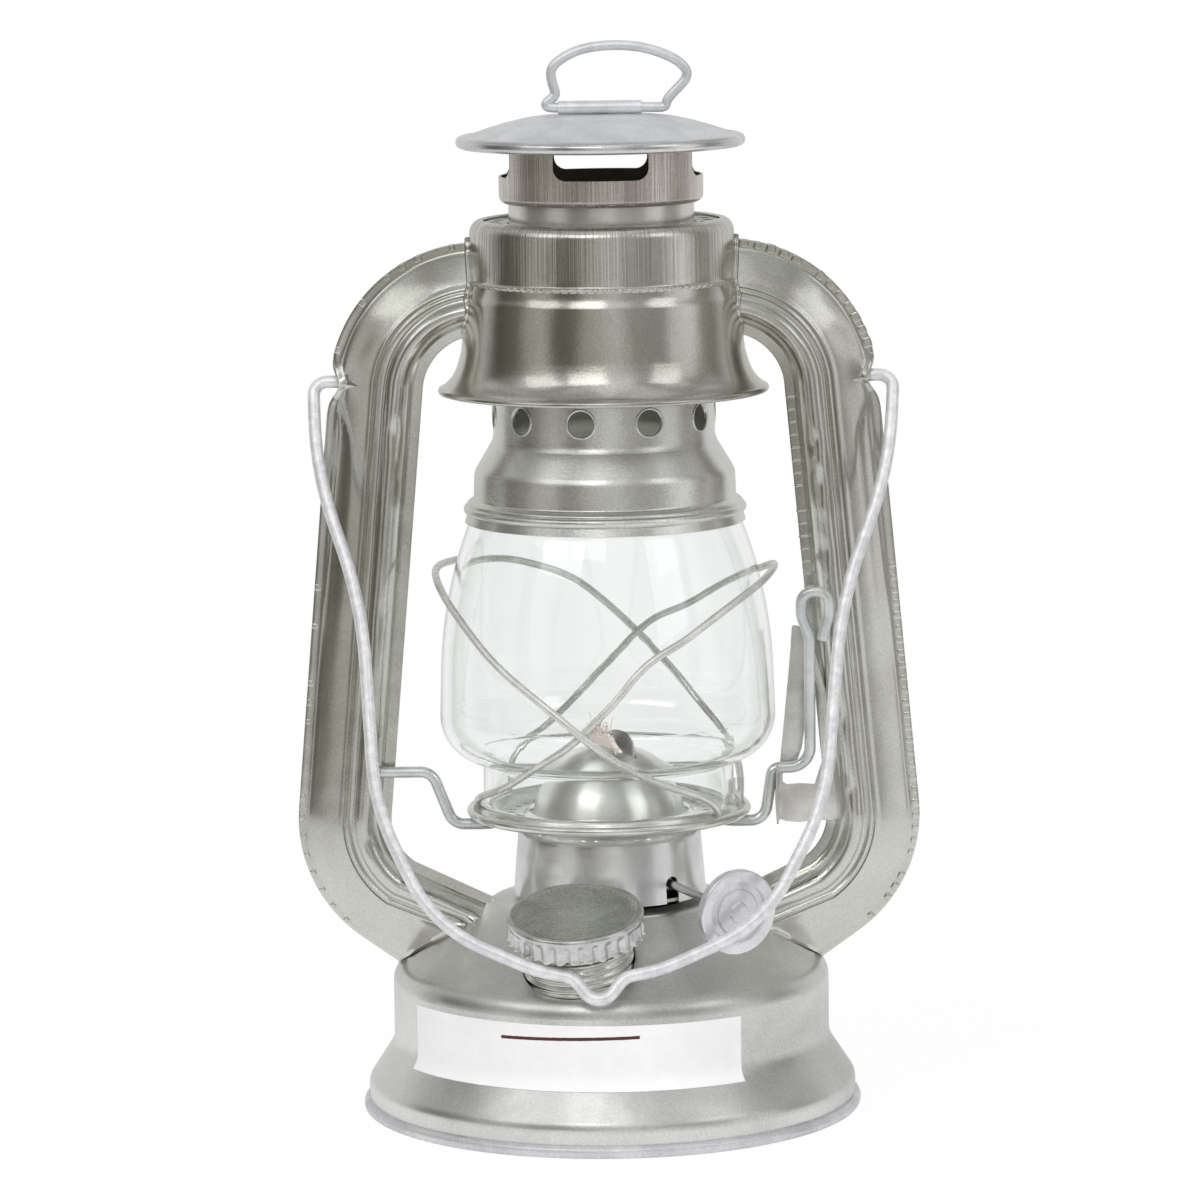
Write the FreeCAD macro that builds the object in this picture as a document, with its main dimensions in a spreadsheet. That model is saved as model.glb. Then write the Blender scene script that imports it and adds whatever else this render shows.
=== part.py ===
# Hurricane lantern: a hot blast kerosene lantern of tin sheet, wire and glass, in millimetres.
# The origin is the middle of the base on the floor, +Z is up, and the filler cap faces -Y.
# The lift lever is on the +X side tube. Azimuths are degrees from -Y towards +X.
import FreeCAD, Part
import math
import os

import Sketcher
from FreeCAD import Placement, Rotation, Vector

# Driving sizes, in millimetres and degrees, grouped by the piece that they belong to.
SIZES = {
    # tin sheet and fits
    "tin": 0.6,
    "pin_fit": 0.09,
    "seat_gap": 0.05,
    # tank
    "rim_radius": 60.2,
    "rim_height": 3.0,
    "rim_width": 3.6,
    "rim_round": 1.4,
    "pan_height": 1.6,
    "flare_inset": 1.5,
    "flare_swell": 0.3,
    "flare_height": 7.2,
    "flare_bend": 4.2,
    "tank_radius": 52.6,
    "wall_foot_height": 17.0,
    "wall_foot_bend": 6.0,
    "deck_height": 31.5,
    "shoulder_height": 34.3,
    "shoulder_bend": 5.2,
    "dome_slope": 34.0,
    "seat_radius": 28.0,
    "seat_bend": 3.5,
    "tank_mouth": 19.0,
    "air_port_radius": 6.0,
    "air_port_reach": 40.0,
    "air_port_depth": 16.0,
    # blank label on the tank wall
    "label_thickness": 0.25,
    "label_top": 30.2,
    "label_turn_in": 2.3,
    "label_middle": -13.0,
    "label_sweep": 96.0,
    # filler neck, cap and gasket
    "filler_reach": 38.5,
    "filler_azimuth": -11.5,
    "filler_tilt": 15.0,
    "neck_radius": 12.7,
    "neck_depth": 15.5,
    "thread_pitch": 3.6,
    "thread_round": 0.6,
    "thread_turns": 2.5,
    "cap_lift": 5.6,
    "cap_radius": 16.1,
    "cap_bore": 13.9,
    "cap_height": 5.6,
    "cap_plate": 0.8,
    "cap_round": 0.9,
    "cap_ring_width": 1.7,
    "cap_ring_height": 0.5,
    "flute_count": 29,
    "flute_radius": 0.75,
    "gasket_thickness": 1.4,
    # burner
    "collar_radius": 15.0,
    "collar_height": 4.5,
    "collar_bore": 12.0,
    "burner_tube_depth": 2.5,
    "draft_plate_thickness": 0.8,
    "draft_plate_lift": 0.2,
    "draft_hole_radius": 1.4,
    "draft_hole_reach": 15.5,
    "draft_hole_count": 20,
    "bell_gap": 1.5,
    "bell_foot_radius": 23.2,
    "bell_shoulder_radius": 21.9,
    "bell_shoulder_height": 15.8,
    "bell_top_radius": 18.95,
    "bell_height": 17.7,
    "bell_bend": 4.0,
    "notch_width": 3.8,
    "cone_overlap": 1.8,
    "cone_side_height": 9.3,
    "cone_side_lean": 0.4,
    "cone_side_bend": 8.0,
    "cone_shoulder_radius": 9.5,
    "cone_shoulder_height": 17.4,
    "cone_shoulder_bend": 6.0,
    "cone_height": 19.7,
    "lip_height": 5.2,
    "wick_width": 15.0,
    "wick_thickness": 2.0,
    "wick_room": 0.2,
    "wick_tube_wall": 0.4,
    "wick_tube_foot": 36.0,
    "wick_tube_top": 85.0,
    "wick_foot": 14.0,
    "wick_top": 92.4,
    # wick raiser
    "raiser_azimuth": 30.0,
    "raiser_tilt": 3.5,
    "raiser_offset": 4.2,
    "raiser_height": 5.8,
    "shaft_radius": 1.0,
    "shaft_inner": 7.5,
    "shaft_outer": 51.2,
    "sprocket_radius": 3.0,
    "sprocket_width": 1.2,
    "sprocket_spacing": 7.0,
    "sprocket_tooth": 0.9,
    "sprocket_teeth": 12,
    "bearing_start": 9.5,
    "bearing_end": 20.0,
    "bearing_post": 1.2,
    "knob_radius": 10.1,
    "knob_thickness": 2.4,
    "knob_reach": 50.8,
    "knob_recess": 1.0,
    "knob_ring": 7.4,
    "knob_disc": 5.2,
    "knob_boss": 2.2,
    # lift lever and its bracket
    "lever_wire": 2.7,
    "lever_forward": 3.0,
    "lever_over_bell": 12.3,
    "lever_drop": 12.8,
    "lever_hoop": 26.0,
    "lever_arm": 37.5,
    "lever_crank_left": 42.5,
    "lever_crank_right": 39.4,
    "lever_end": 57.5,
    "lever_handle": 48.5,
    "lever_lean": 10.5,
    "lever_loop_foot": 33.0,
    "lever_loop_waist": 38.6,
    "lever_loop_top": 44.4,
    "lever_loop_inner": 46.4,
    "lever_loop_outer": 52.9,
    "bracket_inner": 41.4,
    "bracket_foot_drop": 13.1,
    "bracket_fold": 5.4,
    "bracket_fold_rise": 3.7,
    "bracket_sill": 9.2,
    "bracket_top_rise": 34.2,
    "bracket_top_width": 6.0,
    "bracket_leg": 2.6,
    # globe plate, globe and guard
    "plate_gap": 0.3,
    "plate_radius": 31.4,
    "plate_bead": 1.4,
    "plate_hole": 19.2,
    "plate_flat": 26.0,
    "plate_bend": 2.0,
    "perforation_radius": 0.9,
    "perforation_reach": 23.6,
    "perforation_count": 36,
    "globe_wall": 1.6,
    "globe_neck_radius": 30.1,
    "globe_neck_height": 10.0,
    "globe_neck_bend": 1.5,
    "globe_belly_radius": 40.6,
    "globe_belly_height": 12.2,
    "globe_belly_bend": 11.0,
    "globe_side_radius": 39.2,
    "globe_shoulder_drop": 19.2,
    "globe_arc_share": 0.985,
    "globe_mouth_radius": 30.7,
    "globe_height": 72.4,
    "guard_wire": 1.8,
    "guard_slope": 40.0,
    "guard_height": 24.15,
    "guard_reach": 41.85,
    "guard_apex": 50.0,
    "guard_crossing": 1.95,
    "guard_foot": 39.0,
    "guard_foot_half": 10.6,
    "guard_azimuth": -15.0,
    "clip_thickness": 0.4,
    "clip_sweep": 9.0,
    "clip_azimuth": 84.0,
    # globe dome, chimney, crown and its cap
    "dome_cover": 4.4,
    "lip_radius": 33.6,
    "lip_inset": 0.6,
    "lip_band": 4.7,
    "dome_bead": 1.3,
    "dome_step_radius": 31.4,
    "dome_step_rise": 1.0,
    "dome_side_height": 11.95,
    "dome_side_bend": 5.0,
    "dome_neck_radius": 26.2,
    "dome_neck_height": 19.85,
    "dome_height": 47.85,
    "dome_top_bend": 1.5,
    "dome_hole_radius": 3.2,
    "dome_hole_height": 25.7,
    "dome_hole_count": 10,
    "dome_hole_azimuth": 24.0,
    "chimney_radius": 22.1,
    "chimney_height": 31.0,
    "crown_radius": 24.3,
    "crown_lift": 28.2,
    "crown_bend": 1.8,
    "crown_height": 17.3,
    "slot_width": 22.4,
    "slot_height": 8.4,
    "slot_rise": 6.4,
    "disc_radius": 34.0,
    "disc_bead": 1.3,
    "disc_drop": 5.2,
    "disc_crown_radius": 16.6,
    "disc_bend": 100.0,
    # hood and its top plate, spring
    "hood_lift": 30.75,
    "hood_skirt_radius": 39.1,
    "hood_bead": 1.3,
    "hood_skirt_height": 4.9,
    "hood_skirt_inset": 1.3,
    "hood_skirt_bend": 2.5,
    "hood_waist_radius": 34.1,
    "hood_waist_height": 9.2,
    "hood_waist_bend": 5.0,
    "hood_ridge_radius": 32.5,
    "hood_ridge_height": 22.8,
    "hood_ridge_proud": 0.5,
    "hood_top_radius": 31.5,
    "hood_height": 41.4,
    "hood_top_bend": 3.0,
    "hood_mouth_radius": 27.8,
    "flue_gap": 0.4,
    "vent_radius": 1.2,
    "vent_reach": 25.2,
    "vent_count": 26,
    "spring_wire": 1.1,
    "spring_radius": 24.3,
    "spring_turns": 5,
    # side tubes
    "tube_half_width": 11.2,
    "tube_flange_inner": 2.7,
    "tube_flange_outer": 2.6,
    "tube_depth": 7.6,
    "tube_round_width": 7.4,
    "tube_ridge": 0.9,
    "tube_step": 0.7,
    "tube_entry_height": 25.0,
    "tube_entry_radius": 26.9,
    "tube_top_reach": 52.25,
    "tube_top_bend": 25.0,
    "tube_low_reach": 64.8,
    "tube_low_height": 59.1,
    "tube_low_bend": 24.0,
    "tube_foot_slope": 36.0,
    "tube_foot_inner": 27.2,
    "tube_foot_outer": 51.0,
    "tube_foot_spread": 1.4,
    "tube_foot_run": 13.8,
    "tube_foot_sink": 4.0,
    "tube_foot_swell": 1.2,
    "tube_collar_lip": 1.0,
    "tube_collar_proud": 1.3,
    "tube_window_gap": 0.7,
    # bail
    "bail_wire": 3.0,
    "bail_height": 176.6,
    "bail_angle": 21.5,
    "bail_pin_end": 60.5,
    "bail_shoulder": 69.2,
    "bail_cheek": 68.2,
    "bail_cheek_drop": 22.0,
    "bail_waist": 56.8,
    "bail_waist_drop": 55.0,
    "bail_narrow": 52.8,
    "bail_narrow_drop": 104.0,
    "bail_corner": 38.5,
    "bail_corner_drop": 132.5,
    "bail_base": 14.5,
    "bail_base_drop": 143.2,
    "bail_grip": 6.0,
    "bail_grip_drop": 144.8,
    "bail_tip_drop": 152.5,
    "bail_skew": 3.0,
    # top ring and its hinge tube
    "ring_wire": 2.4,
    "ring_tube_radius": 1.6,
    "ring_tube_length": 19.8,
    "ring_foot": 13.4,
    "ring_height": 14.2,
    "ring_left": 14.0,
    "ring_right": 19.2,
    "ring_waist": 10.9,
    "ring_foot_bend": 1.3,
}

doc = FreeCAD.newDocument("hurricane_lantern")
sheet = doc.addObject("Spreadsheet::Sheet", "Sizes")
nodes = []


# Sizes that know both their number and the sheet expression that gives it.
class Size:
    def __init__(self, value, text=None):
        self.value = float(value)
        self.text = text or "(%.10g)" % self.value

    def __add__(self, other):
        other = as_size(other)
        return Size(self.value + other.value, "(%s + %s)" % (self.text, other.text))

    def __sub__(self, other):
        other = as_size(other)
        return Size(self.value - other.value, "(%s - %s)" % (self.text, other.text))

    def __mul__(self, other):
        other = as_size(other)
        return Size(self.value * other.value, "(%s * %s)" % (self.text, other.text))

    def __truediv__(self, other):
        other = as_size(other)
        return Size(self.value / other.value, "(%s / %s)" % (self.text, other.text))

    def __radd__(self, other):
        return as_size(other) + self

    def __rsub__(self, other):
        return as_size(other) - self

    def __rmul__(self, other):
        return as_size(other) * self

    def __neg__(self):
        return Size(-self.value, "(0 - %s)" % self.text)

    def __float__(self):
        return self.value


def as_size(value):
    return value if isinstance(value, Size) else Size(value)


def tangent(angle):
    return Size(math.tan(math.radians(angle.value)), "tan(%s)" % angle.text)


def sine(angle):
    return Size(math.sin(math.radians(angle.value)), "sin(%s)" % angle.text)


def cosine(angle):
    return Size(math.cos(math.radians(angle.value)), "cos(%s)" % angle.text)


def keep(name, size):
    """Give a size its own row in the sheet, and return it under that name."""
    keep.row += 1
    text = size.text.replace("Sizes.", "")
    sheet.set("A%d" % keep.row, name)
    sheet.set("B%d" % keep.row, "=" + text)
    sheet.setAlias("B%d" % keep.row, name)
    named = Size(size.value, "Sizes." + name)
    setattr(S, name, named)
    return named


class Names:
    pass


keep.row = 0
S = Names()
for size_name, size_value in SIZES.items():
    keep(size_name, Size(size_value, repr(size_value)))


# Outlines: corners are (across, up, bend), and a bend of 0 is a sharp corner.
def flat(corner):
    return Vector(float(corner[0]), float(corner[1]), 0)


def moved(size, amount, factor):
    """A size plus an amount times a factor, left as it is where the factor is nothing."""
    if abs(factor) < 1e-9:
        return as_size(size)
    return as_size(size) + as_size(amount) * factor


def rounded(corners):
    """The lines and arcs of a closed outline: (start, end, bend or None, centre, turn)."""
    stops = []
    for index, corner in enumerate(corners):
        across, up, bend = corner
        if float(bend) <= 0:
            stops.append(((as_size(across), as_size(up)), None))
            continue
        back = (flat(corners[index - 1]) - flat(corner)).normalize()
        ahead = (flat(corners[(index + 1) % len(corners)]) - flat(corner)).normalize()
        half = back.getAngle(ahead) / 2
        reach = 1 / math.tan(half)
        first = (moved(across, bend, reach * back.x), moved(up, bend, reach * back.y))
        last = (moved(across, bend, reach * ahead.x), moved(up, bend, reach * ahead.y))
        centre = flat(corner) + (back + ahead).normalize() * (float(bend) / math.sin(half))
        turn = (-back).cross(ahead).z
        stops.append((first, (last, bend, centre, turn)))
    runs = []
    for index, (first, arc) in enumerate(stops):
        at = first
        if arc:
            last, bend, centre, turn = arc
            runs.append((first, last, bend, centre, turn))
            at = last
        following = stops[(index + 1) % len(stops)][0]
        if (flat(at) - flat(following)).Length > 1e-6:
            runs.append((at, following, None, None, 0))
    return runs


def draw(sketch, corners):
    """Add one closed outline to a sketch, with each of its points held by its sizes."""
    ends = []
    rules = []
    bound = []
    for start, end, bend, centre, turn in rounded(corners):
        if bend is None:
            item = sketch.addGeometry(Part.LineSegment(flat(start), flat(end)), False)
            ends.append((item, 1, 2, start))
            continue
        a = flat(start) - centre
        b = flat(end) - centre
        if turn < 0:
            a, b = b, a
        low = math.atan2(a.y, a.x)
        high = math.atan2(b.y, b.x)
        if high < low:
            high += 2 * math.pi
        circle = Part.Circle(centre, Vector(0, 0, 1), float(bend))
        item = sketch.addGeometry(Part.ArcOfCircle(circle, low, high), False)
        ends.append((item, 1, 2, start) if turn > 0 else (item, 2, 1, start))
        rules.append(Sketcher.Constraint("Radius", item, float(bend)))
        bound.append((len(rules) - 1, as_size(bend)))
    for index, (item, first, last, start) in enumerate(ends):
        following = ends[(index + 1) % len(ends)]
        rules.append(Sketcher.Constraint("Coincident", item, last, following[0], following[1]))
        for kind, axis, size in (("DistanceX", -2, start[0]), ("DistanceY", -1, start[1])):
            if abs(size.value) < 1e-9:
                rules.append(Sketcher.Constraint("PointOnObject", item, first, axis))
                continue
            rules.append(Sketcher.Constraint(kind, -1, 1, item, first, size.value))
            bound.append((len(rules) - 1, size))
    offset = sketch.ConstraintCount
    sketch.addConstraint(rules)
    for index, size in bound:
        if "Sizes" in size.text:
            sketch.setExpression("Constraints[%d]" % (offset + index), size.text)


def sheeted(chain, wall):
    """Close a chain of corners into a sheet that lies to the left of the chain."""
    other = []
    for index, (across, up, bend) in enumerate(chain):
        sides = []
        if index > 0:
            sides.append(flat(chain[index]) - flat(chain[index - 1]))
        if index < len(chain) - 1:
            sides.append(flat(chain[index + 1]) - flat(chain[index]))
        normals = [Vector(-side.y, side.x, 0).normalize() for side in sides]
        if len(normals) == 2:
            shift = (normals[0] + normals[1]) * (1 / (1 + normals[0].dot(normals[1])))
            turn = sides[0].cross(sides[1]).z
            if float(bend) > 0:
                bend = as_size(bend) - wall if turn > 0 else as_size(bend) + wall
        elif abs(float(across)) < 1e-9:
            shift = Vector(0, 1 / normals[0].y, 0)
        else:
            shift = normals[0]
        if float(bend) < 0:
            bend = 0
        other.append((moved(across, wall, shift.x), moved(up, wall, shift.y), bend))
    return list(chain) + other[::-1]


# Bodies and their features.
def origin_part(body, role):
    return [item for item in body.Origin.OriginFeatures if item.Role == role][0]


def bind(item, **sizes):
    for name, size in sizes.items():
        size = as_size(size)
        if "Sizes" in size.text:
            item.setExpression(name, size.text)
        else:
            setattr(item, name, size.value)


def new_body(node, place=None):
    body = doc.addObject("PartDesign::Body", node)
    body.Label = node
    if place:
        body.Placement = place
    nodes.append(body)
    return body


def new_sketch(body, name, role):
    sketch = body.newObject("Sketcher::SketchObject", body.Name + "_" + name)
    sketch.AttachmentSupport = [(origin_part(body, role), "")]
    sketch.MapMode = "FlatFace"
    return sketch


def turn_feature(body, name, sketch, angle):
    feature = body.newObject("PartDesign::Revolution", body.Name + "_" + name + "_turned")
    feature.Profile = sketch
    feature.ReferenceAxis = (sketch, ["V_Axis"])
    feature.Midplane = float(angle) < 360
    bind(feature, Angle=angle)
    return feature


def turned(body, name, corners, angle=360):
    sketch = new_sketch(body, name, "XZ_Plane")
    draw(sketch, corners)
    return turn_feature(body, name, sketch, angle)


def bead(body, name, across, up, radius):
    sketch = new_sketch(body, name, "XZ_Plane")
    spot = Vector(float(across), float(up), 0)
    sketch.addGeometry(Part.Circle(spot, Vector(0, 0, 1), float(radius)), False)
    sketch.addConstraint([
        Sketcher.Constraint("Radius", 0, float(radius)),
        Sketcher.Constraint("DistanceX", -1, 1, 0, 3, spot.x),
        Sketcher.Constraint("DistanceY", -1, 1, 0, 3, spot.y),
    ])
    for index, size in enumerate((radius, across, up)):
        sketch.setExpression("Constraints[%d]" % index, as_size(size).text)
    return turn_feature(body, name, sketch, 360)


def padded(body, name, outlines, length, role, both=False):
    sketch = new_sketch(body, name, role)
    for corners in outlines:
        draw(sketch, corners)
    feature = body.newObject("PartDesign::Pad", body.Name + "_" + name + "_pad")
    feature.Profile = sketch
    feature.Midplane = both
    bind(feature, Length=length)
    return feature


def placed(x=0, y=0, z=0, turn=None):
    return Placement(Vector(float(x), float(y), float(z)), turn or Rotation())


def around(axis, angle):
    return Rotation(Vector(*axis), float(angle))


def repeated(body, feature, count, angle=360):
    pattern = body.newObject("PartDesign::PolarPattern", feature.Name + "_round")
    pattern.Originals = [feature]
    pattern.Axis = (origin_part(body, "Z_Axis"), [""])
    pattern.Angle = angle
    pattern.Occurrences = int(float(count))
    if isinstance(count, Size):
        bind(pattern, Occurrences=count)
    body.Tip = pattern
    return pattern


def drilled(body, name, radius, length, place, count=None, angle=360):
    tool = body.newObject("PartDesign::SubtractiveCylinder", body.Name + "_" + name)
    bind(tool, Radius=radius, Height=length)
    tool.Placement = place
    if count is not None:
        return repeated(body, tool, count, angle)
    return tool


def boxed(body, name, length, width, height, place, cut=False):
    kind = "PartDesign::SubtractiveBox" if cut else "PartDesign::AdditiveBox"
    tool = body.newObject(kind, body.Name + "_" + name)
    bind(tool, Length=length, Width=width, Height=height)
    tool.Placement = place
    return tool


def shaped(node, shape, **sizes):
    """A node whose form is swept or lofted; it keeps its main sizes as bound properties."""
    item = doc.addObject("Part::Feature", node)
    item.Label = node
    item.Shape = shape
    for name, size in sizes.items():
        item.addProperty("App::PropertyFloat", name, "Sizes")
        bind(item, **{name: size})
    nodes.append(item)
    return item


# Wires: corners are (point, bend), joined by straight runs and tangent arcs.
def bent_edges(corners):
    edges = []
    at = corners[0][0]
    for index in range(1, len(corners) - 1):
        corner, bend = corners[index]
        bend = float(bend)
        back = (corners[index - 1][0] - corner).normalize()
        ahead = (corners[index + 1][0] - corner).normalize()
        half = back.getAngle(ahead) / 2
        start = corner + back * (bend / math.tan(half))
        end = corner + ahead * (bend / math.tan(half))
        middle = corner + (back + ahead).normalize() * (bend / math.sin(half) - bend)
        if (start - at).Length > 1e-5:
            edges.append(Part.LineSegment(at, start).toShape())
        edges.append(Part.Arc(start, middle, end).toShape())
        at = end
    edges.append(Part.LineSegment(at, corners[-1][0]).toShape())
    return edges


def swept_round(edges, radius, start, direction):
    ring = Part.Wire(Part.makeCircle(float(radius), start, direction))
    return Part.Wire(edges).makePipeShell([ring], True, False)


def bent_wire(corners, radius):
    start = corners[0][0]
    return swept_round(bent_edges(corners), radius, start, corners[1][0] - start)


def wound(radius, pitch, turns, wire):
    """A round wire wound into a coil that stands on its first turn."""
    radius = float(radius)
    pitch = float(pitch)
    points = []
    for step in range(int(round(float(turns) * 4)) + 1):
        angle = step * math.pi / 2
        points.append(Vector(radius * math.cos(angle), radius * math.sin(angle), pitch * step / 4))
    edges = []
    for step in range(0, len(points) - 2, 2):
        edges.append(Part.Arc(points[step], points[step + 1], points[step + 2]).toShape())
    return swept_round(edges, wire, points[0], Vector(0, 1, 0))


# Heights and places that follow from the driving sizes.
dome_rise = tangent(S.dome_slope)
tank_top = keep("tank_top", S.shoulder_height + (S.tank_radius - S.seat_radius) * dome_rise)
filler_z = keep("filler_z", S.shoulder_height + (S.tank_radius - S.filler_reach) * dome_rise)
bell_z = keep("bell_z", tank_top + S.bell_gap)
bell_top = keep("bell_top", bell_z + S.bell_height)
raiser_z = keep("raiser_z", bell_z + S.raiser_height)
pivot_z = keep("pivot_z", bell_top + S.lever_over_bell)
hoop_z = keep("hoop_z", pivot_z - S.lever_drop)
plate_z = keep("plate_z", hoop_z + S.lever_wire / 2 + S.plate_gap)
bead_z = keep("bead_z", plate_z + S.plate_bend)
globe_z = keep("globe_z", bead_z + S.plate_bead + S.seat_gap)
globe_top = keep("globe_top", globe_z + S.globe_height)
dome_z = keep("dome_z", globe_top - S.dome_cover)
dome_top = keep("dome_top", dome_z + S.dome_height)
hood_z = keep("hood_z", dome_z + S.hood_lift)
hood_top = keep("hood_top", hood_z + S.hood_height)
crown_z = keep("crown_z", dome_top + S.crown_lift)
crown_top = keep("crown_top", crown_z + S.crown_height)
disc_edge = keep("disc_edge", S.disc_radius - S.disc_bead)
disc_half_turn = math.atan2(S.disc_drop.value, disc_edge.value - S.disc_crown_radius.value) / 2
disc_reach = S.crown_radius.value - S.disc_crown_radius.value
disc_reach += S.disc_bend.value * math.tan(disc_half_turn)
disc_sag = keep("disc_sag", Size(S.disc_bend.value - math.sqrt(S.disc_bend.value ** 2 - disc_reach ** 2)))
disc_z = keep("disc_z", crown_top + disc_sag + S.tin + S.seat_gap)
ring_z = keep("ring_z", disc_z + S.ring_tube_radius + S.seat_gap)
tube_z = keep("tube_z", hood_z + S.tube_entry_height)
inner_wall = keep("inner_wall", S.tank_radius - S.tin)


# Tank: shell, rolled bottom, deck over the fuel and blank label.
flare_foot = keep("flare_foot", S.rim_radius - S.flare_inset)
flare_radius = keep("flare_radius", flare_foot + S.flare_swell)
tank_chain = [
    (flare_foot, S.rim_height, 0),
    (flare_radius, S.flare_height, S.flare_bend),
    (S.tank_radius, S.wall_foot_height, S.wall_foot_bend),
    (S.tank_radius, S.shoulder_height, S.shoulder_bend),
    (S.seat_radius, tank_top, S.seat_bend),
    (S.tank_mouth, tank_top, 0),
]
filler_turn = around((0, 0, 1), S.filler_azimuth) * around((1, 0, 0), S.filler_tilt)
filler_point = around((0, 0, 1), S.filler_azimuth).multVec(Vector(0, -float(S.filler_reach), 0))


def filler_place(along):
    """A place on the filler axis, which leans outward, at a distance from the tank dome."""
    spot = filler_point + Vector(0, 0, float(filler_z))
    return Placement(spot + filler_turn.multVec(Vector(0, 0, float(along))), filler_turn)


neck_hole = keep("neck_hole", S.neck_radius + S.thread_round + S.seat_gap * 2)
tank_shell = new_body("tank_shell")
turned(tank_shell, "wall", sheeted(tank_chain, S.tin))
drilled(tank_shell, "filler_hole", neck_hole, S.neck_depth * 2, filler_place(-S.neck_depth * 0.7))
port = placed(S.air_port_reach, 0, S.shoulder_height)
drilled(tank_shell, "air_port", S.air_port_radius, S.air_port_depth, port, 2)

tank_bottom = new_body("tank_bottom")
rim_inner = keep("rim_inner", S.rim_radius - S.rim_width)
turned(tank_bottom, "pan", [
    (0, S.pan_height, 0),
    (rim_inner, S.pan_height, 0),
    (rim_inner, 0, 0),
    (S.rim_radius, 0, S.rim_round),
    (S.rim_radius, S.rim_height, S.rim_round),
    (rim_inner + S.tin, S.rim_height, 0),
    (rim_inner + S.tin, S.pan_height + S.tin, 0),
    (0, S.pan_height + S.tin, 0),
])

tank_deck = new_body("tank_deck")
turned(tank_deck, "plate", [
    (S.collar_bore, S.deck_height - S.tin, 0),
    (inner_wall, S.deck_height - S.tin, 0),
    (inner_wall, S.deck_height, 0),
    (S.collar_bore, S.deck_height, 0),
])
drilled(tank_deck, "filler_hole", neck_hole, S.neck_depth * 2, filler_place(-S.neck_depth * 1.4))

label_lean = (flare_radius - S.tank_radius) / (S.wall_foot_height - S.flare_height)
blank_label = new_body("blank_label", placed(turn=around((0, 0, 1), S.label_middle - 90)))
label_chain = [
    (S.tank_radius + label_lean * S.label_turn_in, S.wall_foot_height - S.label_turn_in, 0),
    (S.tank_radius, S.wall_foot_height, S.wall_foot_bend),
    (S.tank_radius, S.label_top, 0),
]
turned(blank_label, "sheet", sheeted(label_chain, -S.label_thickness), S.label_sweep)

# Filler neck with its thread, gasket and cap.
gasket_z = keep("gasket_z", S.cap_height - S.cap_plate - S.gasket_thickness)
neck_top = keep("neck_top", S.cap_lift + gasket_z - S.seat_gap)
neck_edges_z = neck_top - S.thread_pitch * S.thread_turns - S.thread_round - 0.6
neck_tube = Part.makeCylinder(float(S.neck_radius), float(S.neck_depth + neck_top))
neck_bore = Part.makeCylinder(float(S.neck_radius - S.tin), float(S.neck_depth + neck_top))
thread = wound(S.neck_radius + S.seat_gap, S.thread_pitch, S.thread_turns, S.thread_round)
thread.translate(Vector(0, 0, float(S.neck_depth + neck_edges_z)))
gap = float(S.seat_gap)


def turned_solid(corners):
    """A solid turned about the lamp axis from plain (r, z) corners, for trimming."""
    points = [Vector(float(r), 0, float(z)) for r, z in corners]
    face = Part.Face(Part.makePolygon(points + points[:1]))
    return face.revolve(Vector(0, 0, 0), Vector(0, 0, 1), 360)


tank_body = turned_solid([
    (0, 0),
    (S.tank_radius + gap, 0),
    (S.tank_radius + gap, S.shoulder_height + gap),
    (S.seat_radius + gap, tank_top + gap),
    (0, tank_top + gap),
])
neck_shape = neck_tube.fuse(thread).cut(neck_bore)
filler_neck = shaped("filler_neck", neck_shape, Radius=S.neck_radius, Pitch=S.thread_pitch)
filler_neck.Placement = filler_place(-S.neck_depth)

cap_gasket = new_body("cap_gasket", filler_place(S.cap_lift + gasket_z))
turned(cap_gasket, "disc", [
    (0, 0, 0),
    (S.cap_bore - S.seat_gap * 4, 0, 0),
    (S.cap_bore - S.seat_gap * 4, S.gasket_thickness - S.seat_gap, 0),
    (0, S.gasket_thickness - S.seat_gap, 0),
])

filler_cap = new_body("filler_cap", filler_place(S.cap_lift))
turned(filler_cap, "shell", [
    (S.cap_bore, 0, 0),
    (S.cap_radius, 0, 0),
    (S.cap_radius, S.cap_height + S.cap_ring_height, S.cap_round),
    (S.cap_radius - S.cap_ring_width, S.cap_height + S.cap_ring_height, S.cap_ring_height * 0.4),
    (S.cap_radius - S.cap_ring_width - S.cap_ring_height, S.cap_height, 0),
    (0, S.cap_height, 0),
    (0, S.cap_height - S.cap_plate, 0),
    (S.cap_bore, S.cap_height - S.cap_plate, 0),
])
flute_spot = placed(S.cap_radius + S.flute_radius * 0.35, 0, -1)
drilled(filler_cap, "flute", S.flute_radius, S.cap_height - S.cap_ring_width + 1, flute_spot, S.flute_count)

# Burner: collar, tube with draft plate, bell, cone, wick tube and wick.
raiser_turn = around((0, 0, 1), S.raiser_azimuth - 90)
raiser_place = placed(turn=raiser_turn)
burner_tube = keep("burner_tube", S.collar_bore - S.seat_gap)

burner_collar = new_body("burner_collar")
turned(burner_collar, "ring", [
    (S.collar_bore, S.deck_height, 0),
    (S.collar_radius, S.deck_height, 0),
    (S.collar_radius, S.deck_height + S.collar_height, 0.8),
    (S.collar_bore, S.deck_height + S.collar_height, 0),
])

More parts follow.
